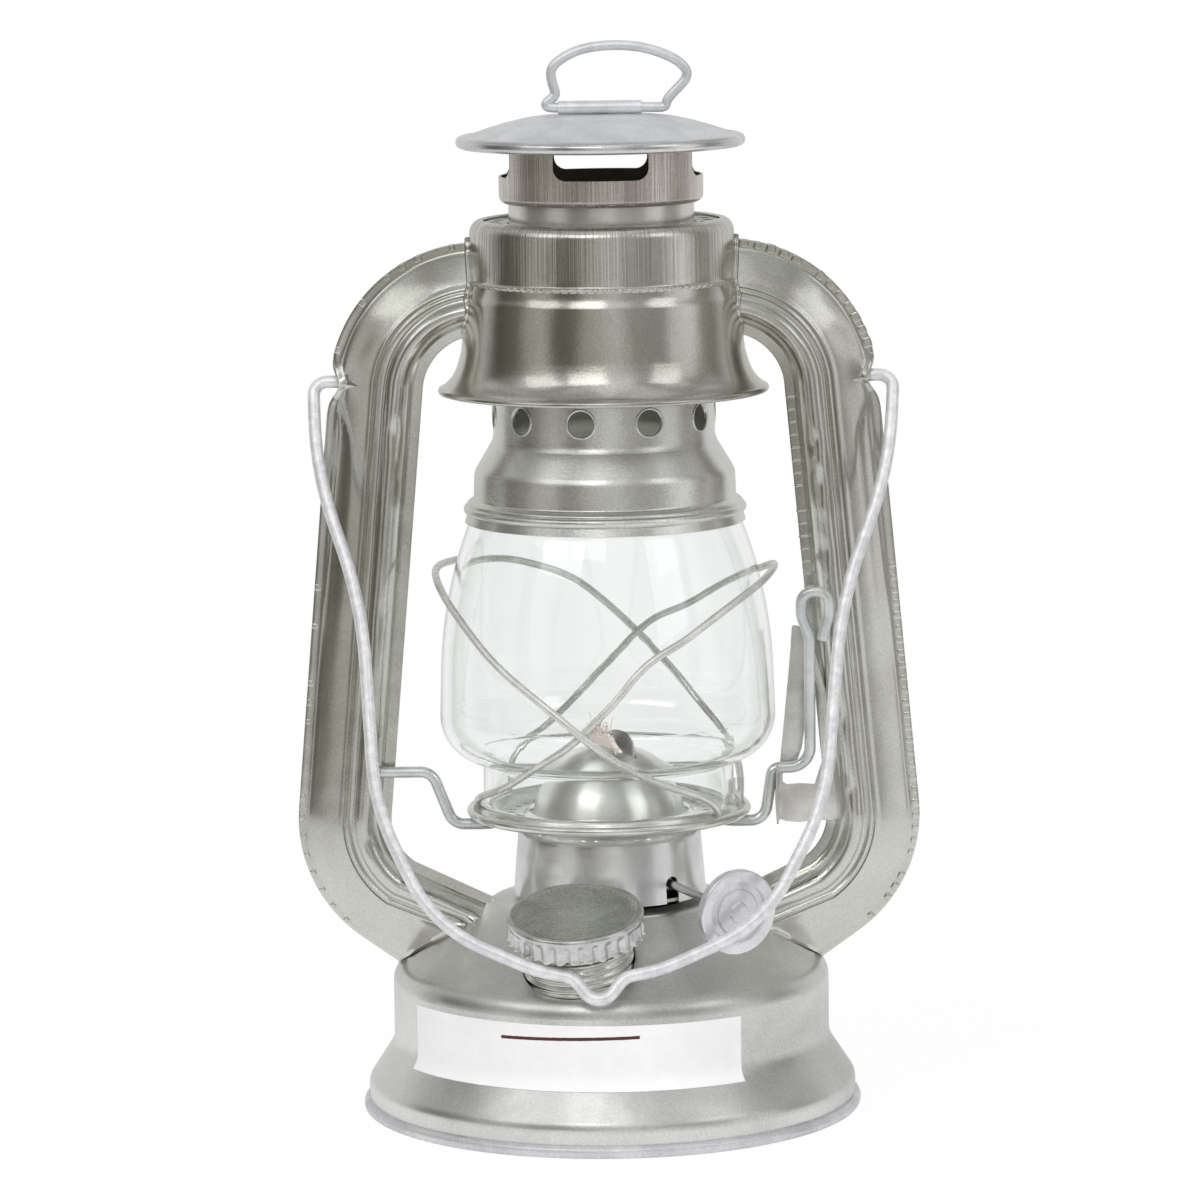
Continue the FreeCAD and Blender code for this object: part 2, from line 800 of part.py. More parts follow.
draft_z = keep("draft_z", bell_z + S.draft_plate_lift)
draft_edge = keep("draft_edge", S.bell_foot_radius - S.tin - 0.15)
burner_body = new_body("burner_body")
turned(burner_body, "tube", [
    (burner_tube - S.tin, S.deck_height - S.burner_tube_depth, 0),
    (burner_tube, S.deck_height - S.burner_tube_depth, 0),
    (burner_tube, S.deck_height + S.collar_height + S.seat_gap, 0),
    (S.collar_radius, S.deck_height + S.collar_height + S.seat_gap, 0),
    (S.collar_radius, S.deck_height + S.collar_height + 1.2, 0),
    (burner_tube, S.deck_height + S.collar_height + 1.2, 0),
    (burner_tube, draft_z, 0),
    (draft_edge, draft_z, 0),
    (draft_edge, draft_z + S.draft_plate_thickness, 0),
    (0, draft_z + S.draft_plate_thickness, 0),
    (0, draft_z, 0),
    (burner_tube - S.tin, draft_z, 0),
])
hole_spot = placed(S.draft_hole_reach, 0, draft_z - 1)
drilled(burner_body, "draft_hole", S.draft_hole_radius, 3, hole_spot, S.draft_hole_count)
tube_length = keep("tube_length", S.wick_width + (S.wick_room + S.wick_tube_wall) * 2)
tube_width = keep("tube_width", S.wick_thickness + (S.wick_room + S.wick_tube_wall) * 2)


def upright_box(body, name, length, width, height, across, up, cut=False):
    """A box standing along the wick, centred on it and moved across it."""
    corner = Vector(-float(length) / 2, float(across) - float(width) / 2, 0)
    spot = raiser_turn.multVec(corner) + Vector(0, 0, float(up))
    return boxed(body, name, length, width, height, Placement(spot, raiser_turn), cut)


upright_box(burner_body, "wick_slot", tube_length, tube_width, 3, 0, draft_z - 1, cut=True)

burner_bell = new_body("burner_bell")
turned(burner_bell, "wall", sheeted([
    (S.bell_foot_radius, bell_z, 0),
    (S.bell_shoulder_radius, bell_z + S.bell_shoulder_height, S.bell_bend),
    (S.bell_top_radius, bell_top, 0),
], S.tin))
shaft_turn = raiser_turn * around((0, 1, 0), 90 + float(S.raiser_tilt))
shaft_spot = raiser_turn.multVec(Vector(0, float(S.raiser_offset), 0)) + Vector(0, 0, float(raiser_z))


def shaft_place(along):
    return Placement(shaft_spot + shaft_turn.multVec(Vector(0, 0, float(along))), shaft_turn)


notch_radius = keep("notch_radius", S.notch_width / 2)
notch_length = S.bell_foot_radius - S.bearing_end + 4
drilled(burner_bell, "notch", notch_radius, notch_length, shaft_place(S.bearing_end - 1))
notch_corner = Vector(float(S.bearing_end) - 1, float(S.raiser_offset - notch_radius), 0)
notch_corner = raiser_turn.multVec(notch_corner) + Vector(0, 0, float(bell_z - 1))
notch_drop = S.raiser_height - S.bell_foot_radius * sine(S.raiser_tilt)
boxed(burner_bell, "notch_foot", notch_length, S.notch_width, notch_drop + 1,
      Placement(notch_corner, raiser_turn), cut=True)

shaft_bearing = new_body("shaft_bearing", shaft_place(0))
turned(shaft_bearing, "tube", [
    (S.shaft_radius + S.pin_fit, S.bearing_start, 0),
    (S.shaft_radius + S.tin * 1.3, S.bearing_start, 0),
    (S.shaft_radius + S.tin * 1.3, S.bearing_end, 0.3),
    (S.shaft_radius + S.pin_fit, S.bearing_end, 0),
])
post_middle = (S.bearing_start + S.bearing_end) / 2
post_z = draft_z + S.draft_plate_thickness
post_height = raiser_z - post_middle * sine(S.raiser_tilt) - S.shaft_radius - S.tin - post_z
post_corner = Vector(float(post_middle), float(S.raiser_offset) - float(S.notch_width) / 2, 0)
post_spot = Placement(raiser_turn.multVec(post_corner) + Vector(0, 0, float(post_z)), raiser_turn)
boxed(shaft_bearing, "post", S.bearing_post, S.notch_width, post_height,
      shaft_place(0).inverse() * post_spot)

cone_z = keep("cone_z", bell_top - S.cone_overlap)
cone_radius = keep("cone_radius", S.bell_top_radius - S.tin - S.seat_gap)
burner_cone = new_body("burner_cone")
turned(burner_cone, "wall", sheeted([
    (cone_radius, cone_z, 0),
    (cone_radius - S.cone_side_lean, cone_z + S.cone_side_height, S.cone_side_bend),
    (S.cone_shoulder_radius, cone_z + S.cone_shoulder_height, S.cone_shoulder_bend),
    (0, cone_z + S.cone_height, 0),
], S.tin))
lip_z = keep("lip_z", cone_z + S.cone_height - S.tin * 3.6)
for side in (-1, 1):
    offset = (tube_width + S.seat_gap * 4 + S.tin) * (side / 2)
    upright_box(burner_cone, "lip%d" % (side + 2), tube_length, S.tin, S.lip_height, offset, lip_z)
upright_box(burner_cone, "slot", tube_length + S.seat_gap * 4, tube_width + S.seat_gap * 4,
            S.cone_height, 0, cone_z + 6, cut=True)

wick_tube = new_body("wick_tube")
wick_hole = keep("wick_hole", S.wick_width + S.wick_room * 2)
wick_gap = keep("wick_gap", S.wick_thickness + S.wick_room * 2)
upright_box(wick_tube, "outer", tube_length - S.seat_gap, tube_width - S.seat_gap,
            S.wick_tube_top - S.wick_tube_foot, 0, S.wick_tube_foot)
upright_box(wick_tube, "bore", wick_hole, wick_gap, 80, 0, S.wick_tube_foot - 2, cut=True)
window = S.sprocket_spacing + S.sprocket_width * 3
upright_box(wick_tube, "window", window, S.tin * 2, S.sprocket_radius * 2 + 1,
            tube_width / 2, raiser_z - S.sprocket_radius - 0.5, cut=True)

wick = new_body("wick")
upright_box(wick, "ribbon", S.wick_width, S.wick_thickness, S.wick_top - S.wick_foot, 0, S.wick_foot)

# Wick raiser: shaft, toothed wheels and knob.
raiser_shaft = new_body("raiser_shaft", shaft_place(0))
turned(raiser_shaft, "rod", [
    (0, 0, 0),
    (S.shaft_radius, 0, 0),
    (S.shaft_radius, S.shaft_inner + S.shaft_outer, 0),
    (0, S.shaft_inner + S.shaft_outer, 0),
])
raiser_shaft.Placement = shaft_place(-S.shaft_inner)

teeth = []
for step in range(int(SIZES["sprocket_teeth"]) * 2):
    reach = S.sprocket_radius if step % 2 == 0 else S.sprocket_radius - S.sprocket_tooth
    angle = math.pi * step / SIZES["sprocket_teeth"]
    teeth.append((reach * math.cos(angle), reach * math.sin(angle), 0))
wheels = []
for side in (-1, 1):
    points = [Vector(float(x), float(y), 0) for x, y, bend in teeth]
    face = Part.Face([Part.makePolygon(points + points[:1])])
    wheel = face.extrude(Vector(0, 0, float(S.sprocket_width)))
    wheel = wheel.cut(Part.makeCylinder(float(S.shaft_radius), float(S.sprocket_width)))
    wheel.translate(Vector(0, 0, float(S.sprocket_spacing) * side / 2 - float(S.sprocket_width) / 2))
    wheels.append(wheel)
raiser_sprockets = shaped("raiser_sprockets", Part.makeCompound(wheels), Radius=S.sprocket_radius)
raiser_sprockets.Placement = shaft_place(0)

raiser_knob = new_body("raiser_knob", shaft_place(S.knob_reach))
knob_back = keep("knob_back", S.knob_thickness - S.knob_recess)
turned(raiser_knob, "disc", [
    (S.shaft_radius, 0, 0),
    (S.knob_radius, 0, 0.4),
    (S.knob_radius, S.knob_thickness, 0.5),
    (S.knob_ring, S.knob_thickness, 0.3),
    (S.knob_ring - 0.4, knob_back, 0.2),
    (S.knob_disc + 0.4, knob_back, 0.2),
    (S.knob_disc, S.knob_thickness - 0.3, 0.2),
    (S.knob_boss + 0.3, S.knob_thickness - 0.3, 0.1),
    (S.knob_boss, S.knob_thickness + 0.4, 0.2),
    (0, S.knob_thickness + 0.4, 0),
    (0, S.shaft_outer - S.knob_reach, 0),
    (S.shaft_radius, S.shaft_outer - S.knob_reach, 0),
])

# Globe carriage: plate, globe, guard wires and clip.
globe_plate = new_body("globe_plate")
plate_edge = keep("plate_edge", S.plate_radius - S.plate_bead)
turned(globe_plate, "dish", sheeted([
    (S.plate_hole, plate_z + S.plate_bend * 0.5, 0),
    (S.plate_hole + 1.2, plate_z, 1.0),
    (S.plate_flat, plate_z, 1.6),
    (plate_edge, bead_z, 0),
], S.tin))
bead(globe_plate, "rim", plate_edge, bead_z, S.plate_bead)
hole_spot = placed(S.perforation_reach, 0, plate_z - 1)
drilled(globe_plate, "hole", S.perforation_radius, 4, hole_spot, S.perforation_count)

globe_side_height = keep("globe_side_height", S.globe_height - S.globe_shoulder_drop)
shoulder_in = float(S.globe_side_radius - S.globe_mouth_radius)
side_in = float(S.globe_belly_radius - S.globe_side_radius)
side_turn = math.atan2(shoulder_in, float(S.globe_shoulder_drop))
side_turn -= math.atan2(side_in, float(globe_side_height - S.globe_belly_height))
shoulder_run = math.hypot(shoulder_in, float(S.globe_shoulder_drop)) * float(S.globe_arc_share)
globe_side_bend = keep("globe_side_bend", Size(shoulder_run / math.tan(side_turn / 2)))

globe = new_body("globe")
turned(globe, "glass", sheeted([
    (S.globe_neck_radius, globe_z, 0),
    (S.globe_neck_radius, globe_z + S.globe_neck_height, S.globe_neck_bend),
    (S.globe_belly_radius, globe_z + S.globe_belly_height, S.globe_belly_bend),
    (S.globe_side_radius, globe_z + globe_side_height, globe_side_bend),
    (S.globe_mouth_radius, globe_top, 0),
], S.globe_wall))

guard_z = keep("guard_z", globe_z + S.guard_height)
guard_turn = around((0, 1, 0), S.guard_slope)
guard_aim = around((0, 0, 1), S.guard_azimuth)


def guard_path(reach, side):
    """Corners of a guard wire: foot, round the globe, over its apex, and back to the other foot."""
    low = math.radians(25)
    apex = float(S.guard_apex)
    reach = float(reach)
    corner = reach * math.tan((math.pi / 2 - low) / 2)
    slant = Vector(reach * math.cos(low), reach * math.sin(low), 0)
    step = (slant.y - float(S.guard_foot_half)) * 0.2
    half = [
        (Vector(float(S.guard_foot), float(S.guard_foot_half), 0), 0),
        (Vector(slant.x + step * math.tan(low), slant.y - step, 0), 1.5),
        (Vector(corner, reach, 0), reach * 0.97),
        (Vector(-apex * 0.4142, reach, 0), apex),
        (Vector(-apex, reach * 0.4142, 0), reach * 0.8),
    ]
    mirrored = [(Vector(point.x, -point.y, 0), bend) for point, bend in half]
    path = []
    for point, bend in half + mirrored[::-1]:
        point = guard_turn.multVec(point)
        point = guard_aim.multVec(Vector(point.x * side, point.y, point.z))
        path.append((point + Vector(0, 0, float(guard_z)), bend))
    return path


for node, side, extra in (("left_guard_wire", 1, S.guard_crossing), ("right_guard_wire", -1, 0)):
    corners = guard_path(S.guard_reach + extra, side)
    shaped(node, bent_wire(corners, S.guard_wire / 2), Wire=S.guard_wire)
    for number, end in enumerate((0, -1)):
        inner = 1 if end == 0 else -2
        run = (corners[end][0] - corners[inner][0]).normalize()
        spot = corners[end][0] - run * 3
        tool = Placement(spot, Rotation(Vector(0, 0, 1), run))
        drilled(globe_plate, "%s_seat%d" % (node, number), S.guard_wire / 2 + S.seat_gap, 4.5, tool)

globe_clip = new_body("globe_clip", placed(turn=around((0, 0, 1), S.clip_azimuth - 90)))
turned(globe_clip, "strip", sheeted([
    (S.plate_radius + S.seat_gap, plate_z, 0),
    (S.plate_radius + S.seat_gap, globe_z + 0.6, 0.5),
    (S.globe_neck_radius + S.seat_gap, globe_z + 2.0, 0.5),
    (S.globe_neck_radius + S.seat_gap, globe_z + 5.0, 0),
], -S.clip_thickness), S.clip_sweep)

# Chimney: perforated globe dome, flue tube, crown, cap and the hinge tube of its ring.
globe_dome = new_body("globe_dome")
turned(globe_dome, "wall", sheeted([
    (S.lip_radius, dome_z, 0),
    (S.lip_radius - S.lip_inset, dome_z + S.lip_band * 0.4, 0.8),
    (S.lip_radius - S.lip_inset, dome_z + S.lip_band, 0.8),
    (S.dome_step_radius, dome_z + S.lip_band + S.dome_step_rise, 0.8),
    (S.dome_step_radius - 0.2, dome_z + S.dome_side_height, S.dome_side_bend),
    (S.dome_neck_radius + 0.3, dome_z + S.dome_neck_height, S.dome_side_bend),
    (S.dome_neck_radius, dome_top, S.dome_top_bend),
    (S.chimney_radius, dome_top, 0),
], S.tin))
bead(globe_dome, "lip_bead", S.lip_radius - 0.85, dome_z + 3.05, S.dome_bead * 0.85)
hole_turn = around((0, 0, 1), S.dome_hole_azimuth - 90) * around((0, 1, 0), 90)
hole_spot = Placement(Vector(0, 0, float(dome_z + S.dome_hole_height)), hole_turn)
drilled(globe_dome, "hole", S.dome_hole_radius, S.dome_step_radius, hole_spot, S.dome_hole_count)

chimney_tube = new_body("chimney_tube")
turned(chimney_tube, "wall", sheeted([
    (S.chimney_radius, dome_top - S.tin, 0),
    (S.chimney_radius, dome_top + S.chimney_height, 0),
], S.tin))

crown = new_body("crown")
turned(crown, "wall", sheeted([
    (S.chimney_radius + S.seat_gap, crown_z, 0),
    (S.crown_radius, crown_z, S.crown_bend),
    (S.crown_radius, crown_top, 0),
], S.tin))
slot_sketch = new_sketch(crown, "slot", "XZ_Plane")
slot_round = S.slot_height * 0.35
slot_low = crown_z + S.slot_rise
draw(slot_sketch, [
    (-S.slot_width / 2, slot_low, slot_round),
    (S.slot_width / 2, slot_low, slot_round),
    (S.slot_width / 2, slot_low + S.slot_height, slot_round),
    (-S.slot_width / 2, slot_low + S.slot_height, slot_round),
])
slot = crown.newObject("PartDesign::Pocket", "crown_slot_cut")
slot.Profile = slot_sketch
slot.Type = "ThroughAll"
slot.Midplane = True
repeated(crown, slot, 2, 90)

crown_cap = new_body("crown_cap")
turned(crown_cap, "dome", sheeted([
    (disc_edge, disc_z - S.disc_drop, 0),
    (S.disc_crown_radius, disc_z, S.disc_bend),
    (0, disc_z, 0),
], S.tin))
bead(crown_cap, "rim", disc_edge, disc_z - S.disc_drop - S.disc_bead * 0.5, S.disc_bead)

ring_place = Placement(Vector(-float(S.ring_tube_length) / 2, 0, float(ring_z)), around((0, 1, 0), 90))
ring_hinge = new_body("ring_hinge", ring_place)
turned(ring_hinge, "tube", [
    (S.ring_wire / 2 + S.pin_fit, 0, 0),
    (S.ring_tube_radius, 0, 0),
    (S.ring_tube_radius, S.ring_tube_length, 0),
    (S.ring_wire / 2 + S.pin_fit, S.ring_tube_length, 0),
])

# Top ring: wire with both of its ends in the hinge tube.
ring_corners = [
    (-S.ring_tube_length * 0.42, 0, 0),
    (-S.ring_foot, 0, S.ring_foot_bend),
    (-S.ring_waist, S.ring_height * 0.27, 4.0),
    (-S.ring_left, S.ring_height * 0.78, 3.6),
    (-S.ring_left + 8.0, S.ring_height, 14.0),
    (S.ring_right - 12.4, S.ring_height + 0.8, 34.0),
    (S.ring_right - 2.0, S.ring_height - 1.6, 5.0),
    (S.ring_right + 1.2, S.ring_height * 0.57, 2.4),
    (S.ring_foot, 0, S.ring_foot_bend),
    (S.ring_tube_length * 0.42, 0, 0),
]
ring_path = [(Vector(float(x), 0, float(z)), bend) for x, z, bend in ring_corners]
top_ring = shaped("top_ring", bent_wire(ring_path, S.ring_wire / 2), Wire=S.ring_wire)
top_ring.Placement = placed(0, 0, ring_z)

# Hood with its top plate, and the spring that holds the chimney down.
tube_wall_top = keep("tube_wall_top", hood_z + S.hood_ridge_height)
hood = new_body("hood")
turned(hood, "wall", sheeted([
    (S.hood_skirt_radius - S.hood_bead + S.tin * 0.5, hood_z + S.hood_bead, 0),
    (S.hood_skirt_radius - S.hood_skirt_inset, hood_z + S.hood_skirt_height, S.hood_skirt_bend),
    (S.hood_waist_radius, hood_z + S.hood_waist_height, S.hood_waist_bend),
    (S.hood_ridge_radius, tube_wall_top, 0),
    (S.hood_top_radius, hood_top, S.hood_top_bend),
    (S.hood_mouth_radius, hood_top, 0),
], S.tin))
bead(hood, "rim", S.hood_skirt_radius - S.hood_bead, hood_z + S.hood_bead, S.hood_bead)
bead(hood, "ridge", S.hood_ridge_radius - S.hood_ridge_proud, tube_wall_top, S.hood_ridge_proud * 2)

hood_top_plate = new_body("hood_top")
plate_bore = keep("plate_bore", S.chimney_radius + S.flue_gap)
turned(hood_top_plate, "plate", [
    (plate_bore, hood_top - S.tin * 3, 0),
    (plate_bore + S.tin, hood_top - S.tin * 3, 0),
    (plate_bore + S.tin, hood_top - S.tin * 2, 0.3),
    (S.hood_top_radius - S.hood_top_bend, hood_top - S.tin * 2, 0),
    (S.hood_top_radius - S.hood_top_bend, hood_top - S.tin - S.seat_gap, 0),
    (plate_bore, hood_top - S.tin - S.seat_gap, 0.6),
])
vent_spot = placed(S.vent_reach, 0, hood_top - 4)
drilled(hood_top_plate, "vent", S.vent_radius, 5, vent_spot, S.vent_count)

spring_low = keep("spring_low", dome_top + S.spring_wire / 2 + S.seat_gap)
spring_high = keep("spring_high", hood_top - S.tin * 3 - S.spring_wire / 2 - S.seat_gap)
spring_pitch = (spring_high - spring_low) / S.spring_turns
spring_shape = wound(S.spring_radius, spring_pitch, S.spring_turns, S.spring_wire / 2)
spring_shape.translate(Vector(0, 0, float(spring_low)))
return_spring = shaped("return_spring", spring_shape, Wire=S.spring_wire, Turns=S.spring_turns)

# Side tubes: two pressed halves on each side, from the hood down into the tank.
tube_out = Vector(0, 0, 1)


def tube_outline(half_width, depth, spread=0):
    """Outline of a front half (u across the tube, v forward) as one closed list of points."""
    wide = float(half_width)
    deep = float(depth)
    tin = float(S.tin)
    inner = -wide + float(S.tube_flange_inner) + spread
    outer = wide - float(S.tube_flange_outer) - spread
    reach = float(S.tube_round_width) / 2 + spread / 2
    middle = inner + reach
    front = [(-wide, tin), (inner, tin)]
    for angle in (155, 125, 90, 60):
        angle = math.radians(angle)
        front.append((middle + reach * math.cos(angle), deep * math.sin(angle)))
    valley = middle + reach * 0.98
    ridge = float(S.tube_ridge)
    front.append((valley, deep - float(S.tube_step) * 2.6))
    front.append((valley + ridge * 0.7, deep - float(S.tube_step) * 1.4))
    front.append((valley + ridge * 1.5, deep - float(S.tube_step) * 2.2))
    front.append((outer, tin * 2))
    front.append((wide, tin))
    back = [(wide, 0), (outer - tin * 0.8, 0)]
    back.append((outer - tin, tin * 0.6))
    back.append((valley + ridge * 0.8, deep - float(S.tube_step) * 3.4))
    for angle in (65, 90, 125, 153):
        angle = math.radians(angle)
        back.append((middle + (reach - tin) * math.cos(angle), (deep - tin) * math.sin(angle)))
    back += [(inner + tin, 0), (-wide, 0)]
    return front + back


def tube_section(outline, centre, outward, side):
    points = [centre + outward * u + Vector(0, -side * v, 0) for u, v in outline]
    return Part.makePolygon(points + points[:1])


low = (S.tube_low_reach, S.tube_low_height)
foot_slope = math.radians(float(S.tube_foot_slope))
foot_run = Vector(-math.cos(foot_slope), 0, -math.sin(foot_slope))
tube_start = Vector(float(S.hood_mouth_radius) - 6, 0, float(tube_z))
tube_corners = [
    (tube_start, 0),
    (Vector(float(S.tube_top_reach), 0, float(tube_z)), S.tube_top_bend),
    (Vector(float(low[0]), 0, float(low[1])), S.tube_low_bend),
]
tube_corners.append((tube_corners[2][0] + foot_run * float(S.tube_foot_run), 0))
tube_end = tube_corners[3][0]


def dome_height(reach):
    return float(S.shoulder_height) + (float(S.tank_radius) - reach) * float(dome_rise)


foot_inner = Vector(float(S.tube_foot_inner), 0, dome_height(float(S.tube_foot_inner)))
foot_outer = Vector(float(S.tube_foot_outer), 0, dome_height(float(S.tube_foot_outer)))
foot_centre = (foot_inner + foot_outer) * 0.5 + foot_run * float(S.tube_foot_sink)
foot_across = foot_outer - foot_inner
foot_half = foot_across.Length / 2
foot_across.normalize()
end_across = Vector(-foot_run.z, 0, foot_run.x)


tube_stop = Part.makeCylinder(float(S.tube_entry_radius), float(ring_z) * 2)
bail_hole = float(S.bail_wire) / 2 + float(S.pin_fit)
lever_hole = float(S.lever_wire) / 2 + float(S.pin_fit)


def swept_flat(edges, section):
    """A section swept along the tube's path, kept square to the lamp's side plane."""
    run = Part.BRepOffsetAPI.MakePipeShell(Part.Wire(edges))
    run.setBiNormalMode(Vector(0, 1, 0))
    run.add(section, False, False)
    run.build()
    run.makeSolid()
    return run.shape()


def half_tube(side):
    plain = tube_outline(S.tube_half_width, S.tube_depth)
    wide = tube_outline(foot_half, float(S.tube_depth + S.tube_foot_swell), float(S.tube_foot_spread))
    edges = bent_edges(tube_corners)
    run = swept_flat(edges, tube_section(plain, tube_start, tube_out, side))
    start = tube_section(plain, tube_end, end_across, side)
    end = tube_section(wide, foot_centre, foot_across, side)
    foot = Part.makeLoft([start, end], True, True)
    return run, foot


for side, name in ((1, "front"), (-1, "rear")):
    run, foot = half_tube(side)
    for mirror, hand in ((1, "right"), (-1, "left")):
        shape = run.fuse(foot)
        if mirror < 0:
            shape = shape.mirror(Vector(0, 0, 0), Vector(1, 0, 0))
        shape = shape.cut(tank_body).cut(tube_stop)
        spot = Vector(mirror * float(S.bail_pin_end - S.bail_wire), 0, float(S.bail_height))
        pin_length = float(S.bail_shoulder - S.bail_pin_end + S.bail_wire * 2)
        pin = Part.makeCylinder(bail_hole, pin_length, spot, Vector(mirror, 0, 0))
        shape = shape.cut(pin)
        if mirror < 0:
            spot = Vector(-float(S.lever_crank_left), -float(S.lever_forward), float(pivot_z))
            pin_length = float(S.lever_end - S.lever_crank_left + S.lever_wire)
            shape = shape.cut(Part.makeCylinder(lever_hole, pin_length, spot, Vector(-1, 0, 0)))
        shaped("%s_tube_%s" % (hand, name), shape, HalfWidth=S.tube_half_width, Depth=S.tube_depth)

# Tube collars: soldered frames round the tubes where they enter the hood.
def whole_outline(grow):
    """The closed outline of both halves of a tube, grown all round, as (u, v) points."""
    wide = float(S.tube_half_width)
    half = tube_outline(wide, S.tube_depth)
    front = half[:half.index((wide, float(S.tin))) + 1]
    front = [(u * (wide + grow) / wide, v + grow) for u, v in front]
    return front + [(u, -v) for u, v in front[::-1]]


def whole_section(grow):
    points = [tube_start + tube_out * u + Vector(0, -v, 0) for u, v in whole_outline(grow)]
    return Part.makePolygon(points + points[:1])


window_gap = float(S.tube_window_gap)
frame_grow = window_gap + float(S.tube_collar_lip)
straight = [Part.LineSegment(tube_start, tube_start + Vector(20, 0, 0)).toShape()]
tube_core = swept_flat(bent_edges(tube_corners), whole_section(0))
hood_outside = turned_solid([
    (0, hood_z + S.hood_waist_height),
    (S.hood_waist_radius + gap, hood_z + S.hood_waist_height),
    (S.hood_ridge_radius + gap, tube_wall_top),
    (S.hood_top_radius + gap, hood_top),
    (0, hood_top),
])
ridge_ring = Part.makeTorus(float(S.hood_ridge_radius - S.hood_ridge_proud),
                            float(S.hood_ridge_proud) * 2 + gap, Vector(0, 0, float(tube_wall_top)))
frame_limit = Part.makeCylinder(float(S.hood_ridge_radius + S.tube_collar_proud), float(ring_z) * 2)
for mirror, hand in ((1, "right"), (-1, "left")):
    frame = swept_flat(straight, whole_section(frame_grow))
    frame = frame.common(frame_limit).cut(tube_core).cut(hood_outside).cut(ridge_ring)
    if mirror < 0:
        frame = frame.mirror(Vector(0, 0, 0), Vector(1, 0, 0))
    shaped("%s_tube_collar" % hand, frame, Lip=S.tube_collar_lip)

# The hood is open at both sides for the tubes.
window_sketch = new_sketch(hood, "window", "YZ_Plane")
draw(window_sketch, [(-v, tube_z + u, 0) for u, v in whole_outline(window_gap)])
window_cut = hood.newObject("PartDesign::Pocket", "hood_window_cut")
window_cut.Profile = window_sketch
window_cut.Type = "ThroughAll"
window_cut.Midplane = True

# Lift lever: one wire with a hoop under the globe plate and a handle on the right.
lever_y = -float(S.lever_forward)
lean = math.radians(float(S.lever_lean))


def lever_point(across, up, back=0):
    return Vector(float(across), lever_y + float(back), float(up))


def handle_point(across, along):
    along = float(along)
    return lever_point(across, float(pivot_z) + along * math.cos(lean), -along * math.sin(lean))


hoop = float(S.lever_hoop)
lever_path = [
    (lever_point(-S.lever_end, pivot_z), 0),
    (lever_point(-S.lever_crank_left, pivot_z), 4),
    (lever_point(-S.lever_arm, hoop_z), 4),
    (lever_point(-S.lever_hoop, hoop_z), 5),
    (lever_point(-S.lever_hoop, hoop_z, hoop + S.lever_forward), hoop),
    (lever_point(S.lever_hoop, hoop_z, hoop + S.lever_forward), hoop),
    (lever_point(S.lever_hoop, hoop_z), 5),
    (lever_point(S.lever_arm, hoop_z), 4),
    (lever_point(S.lever_crank_right, pivot_z), 2),
    (lever_point(S.lever_handle, pivot_z), 5),
    (handle_point(S.lever_handle - 0.2, S.lever_loop_foot), 6),
    (handle_point(S.lever_loop_inner, S.lever_loop_waist), 4),
    (handle_point(S.lever_loop_inner, S.lever_loop_top), 2.9),
    (handle_point(S.lever_loop_outer, S.lever_loop_top), 2.9),
    (handle_point(S.lever_loop_outer, S.lever_loop_waist), 3),
    (handle_point(S.lever_handle + 2.8, S.lever_loop_foot - 0.6), 0),
]
lift_lever = shaped("lift_lever", bent_wire(lever_path, S.lever_wire / 2), Wire=S.lever_wire)

# Lever bracket: a plate clinched on the inner seam of the right tube, with a folded ear.
tube_lean = (S.tube_low_reach - S.tube_top_reach) / (tube_z - S.tube_low_height)


def seam_reach(height):
    """Inner edge of the right tube at a height on its straight run."""
    return S.tube_top_reach + tube_lean * (tube_z - height) - S.tube_half_width


bracket_low = keep("bracket_low", pivot_z - S.bracket_foot_drop)
bracket_high = keep("bracket_high", pivot_z + S.bracket_top_rise)
leg_low = seam_reach(pivot_z)
leg_high = seam_reach(bracket_high)
lever_bracket = new_body("lever_bracket", placed(0, -S.tin - S.seat_gap, 0))
padded(lever_bracket, "plate", [
    [
        (S.bracket_inner, bracket_low, 1.0),
        (leg_low + S.bracket_leg, bracket_low, 0.6),
        (leg_low + S.bracket_leg, pivot_z, 0),
        (leg_high + S.bracket_leg, bracket_high - 1.5, 0.8),
        (leg_high + S.bracket_leg - S.bracket_top_width, bracket_high, 1.5),
        (S.bracket_inner, pivot_z + S.bracket_fold_rise, 1.0),
    ],
    [
        (S.bracket_inner + 2.4, bracket_low + S.bracket_sill, 0.5),
        (leg_low + 0.2, bracket_low + S.bracket_sill, 0.5),
        (leg_low, pivot_z, 0),
        (leg_high + 0.5, bracket_high - 8.0, 0.3),
        (leg_high - 0.6, bracket_high - 8.0, 0.3),
        (S.bracket_inner + 3.4, pivot_z, 0),
    ],
], S.tin, "XZ_Plane")
boxed(lever_bracket, "ear", S.tin, S.bracket_fold, S.bracket_foot_drop + S.bracket_fold_rise,
      placed(S.bracket_inner, -S.bracket_fold - S.tin * 0.5, bracket_low))
ear_spot = placed(S.bracket_inner - 2, -S.lever_forward + S.tin + S.seat_gap, pivot_z, around((0, 1, 0), 90))
drilled(lever_bracket, "pivot_hole", S.lever_wire / 2 + S.pin_fit, 4, ear_spot)

# Bail: wire handle that hangs forward of the tubes, with its two ends in their seams.
fall = math.radians(float(S.bail_angle))


def bail_point(across, drop):
    across = float(across) - float(S.bail_skew) * float(drop) / float(S.bail_tip_drop)
    drop = float(drop)
    return Vector(across, -drop * math.sin(fall), -drop * math.cos(fall))


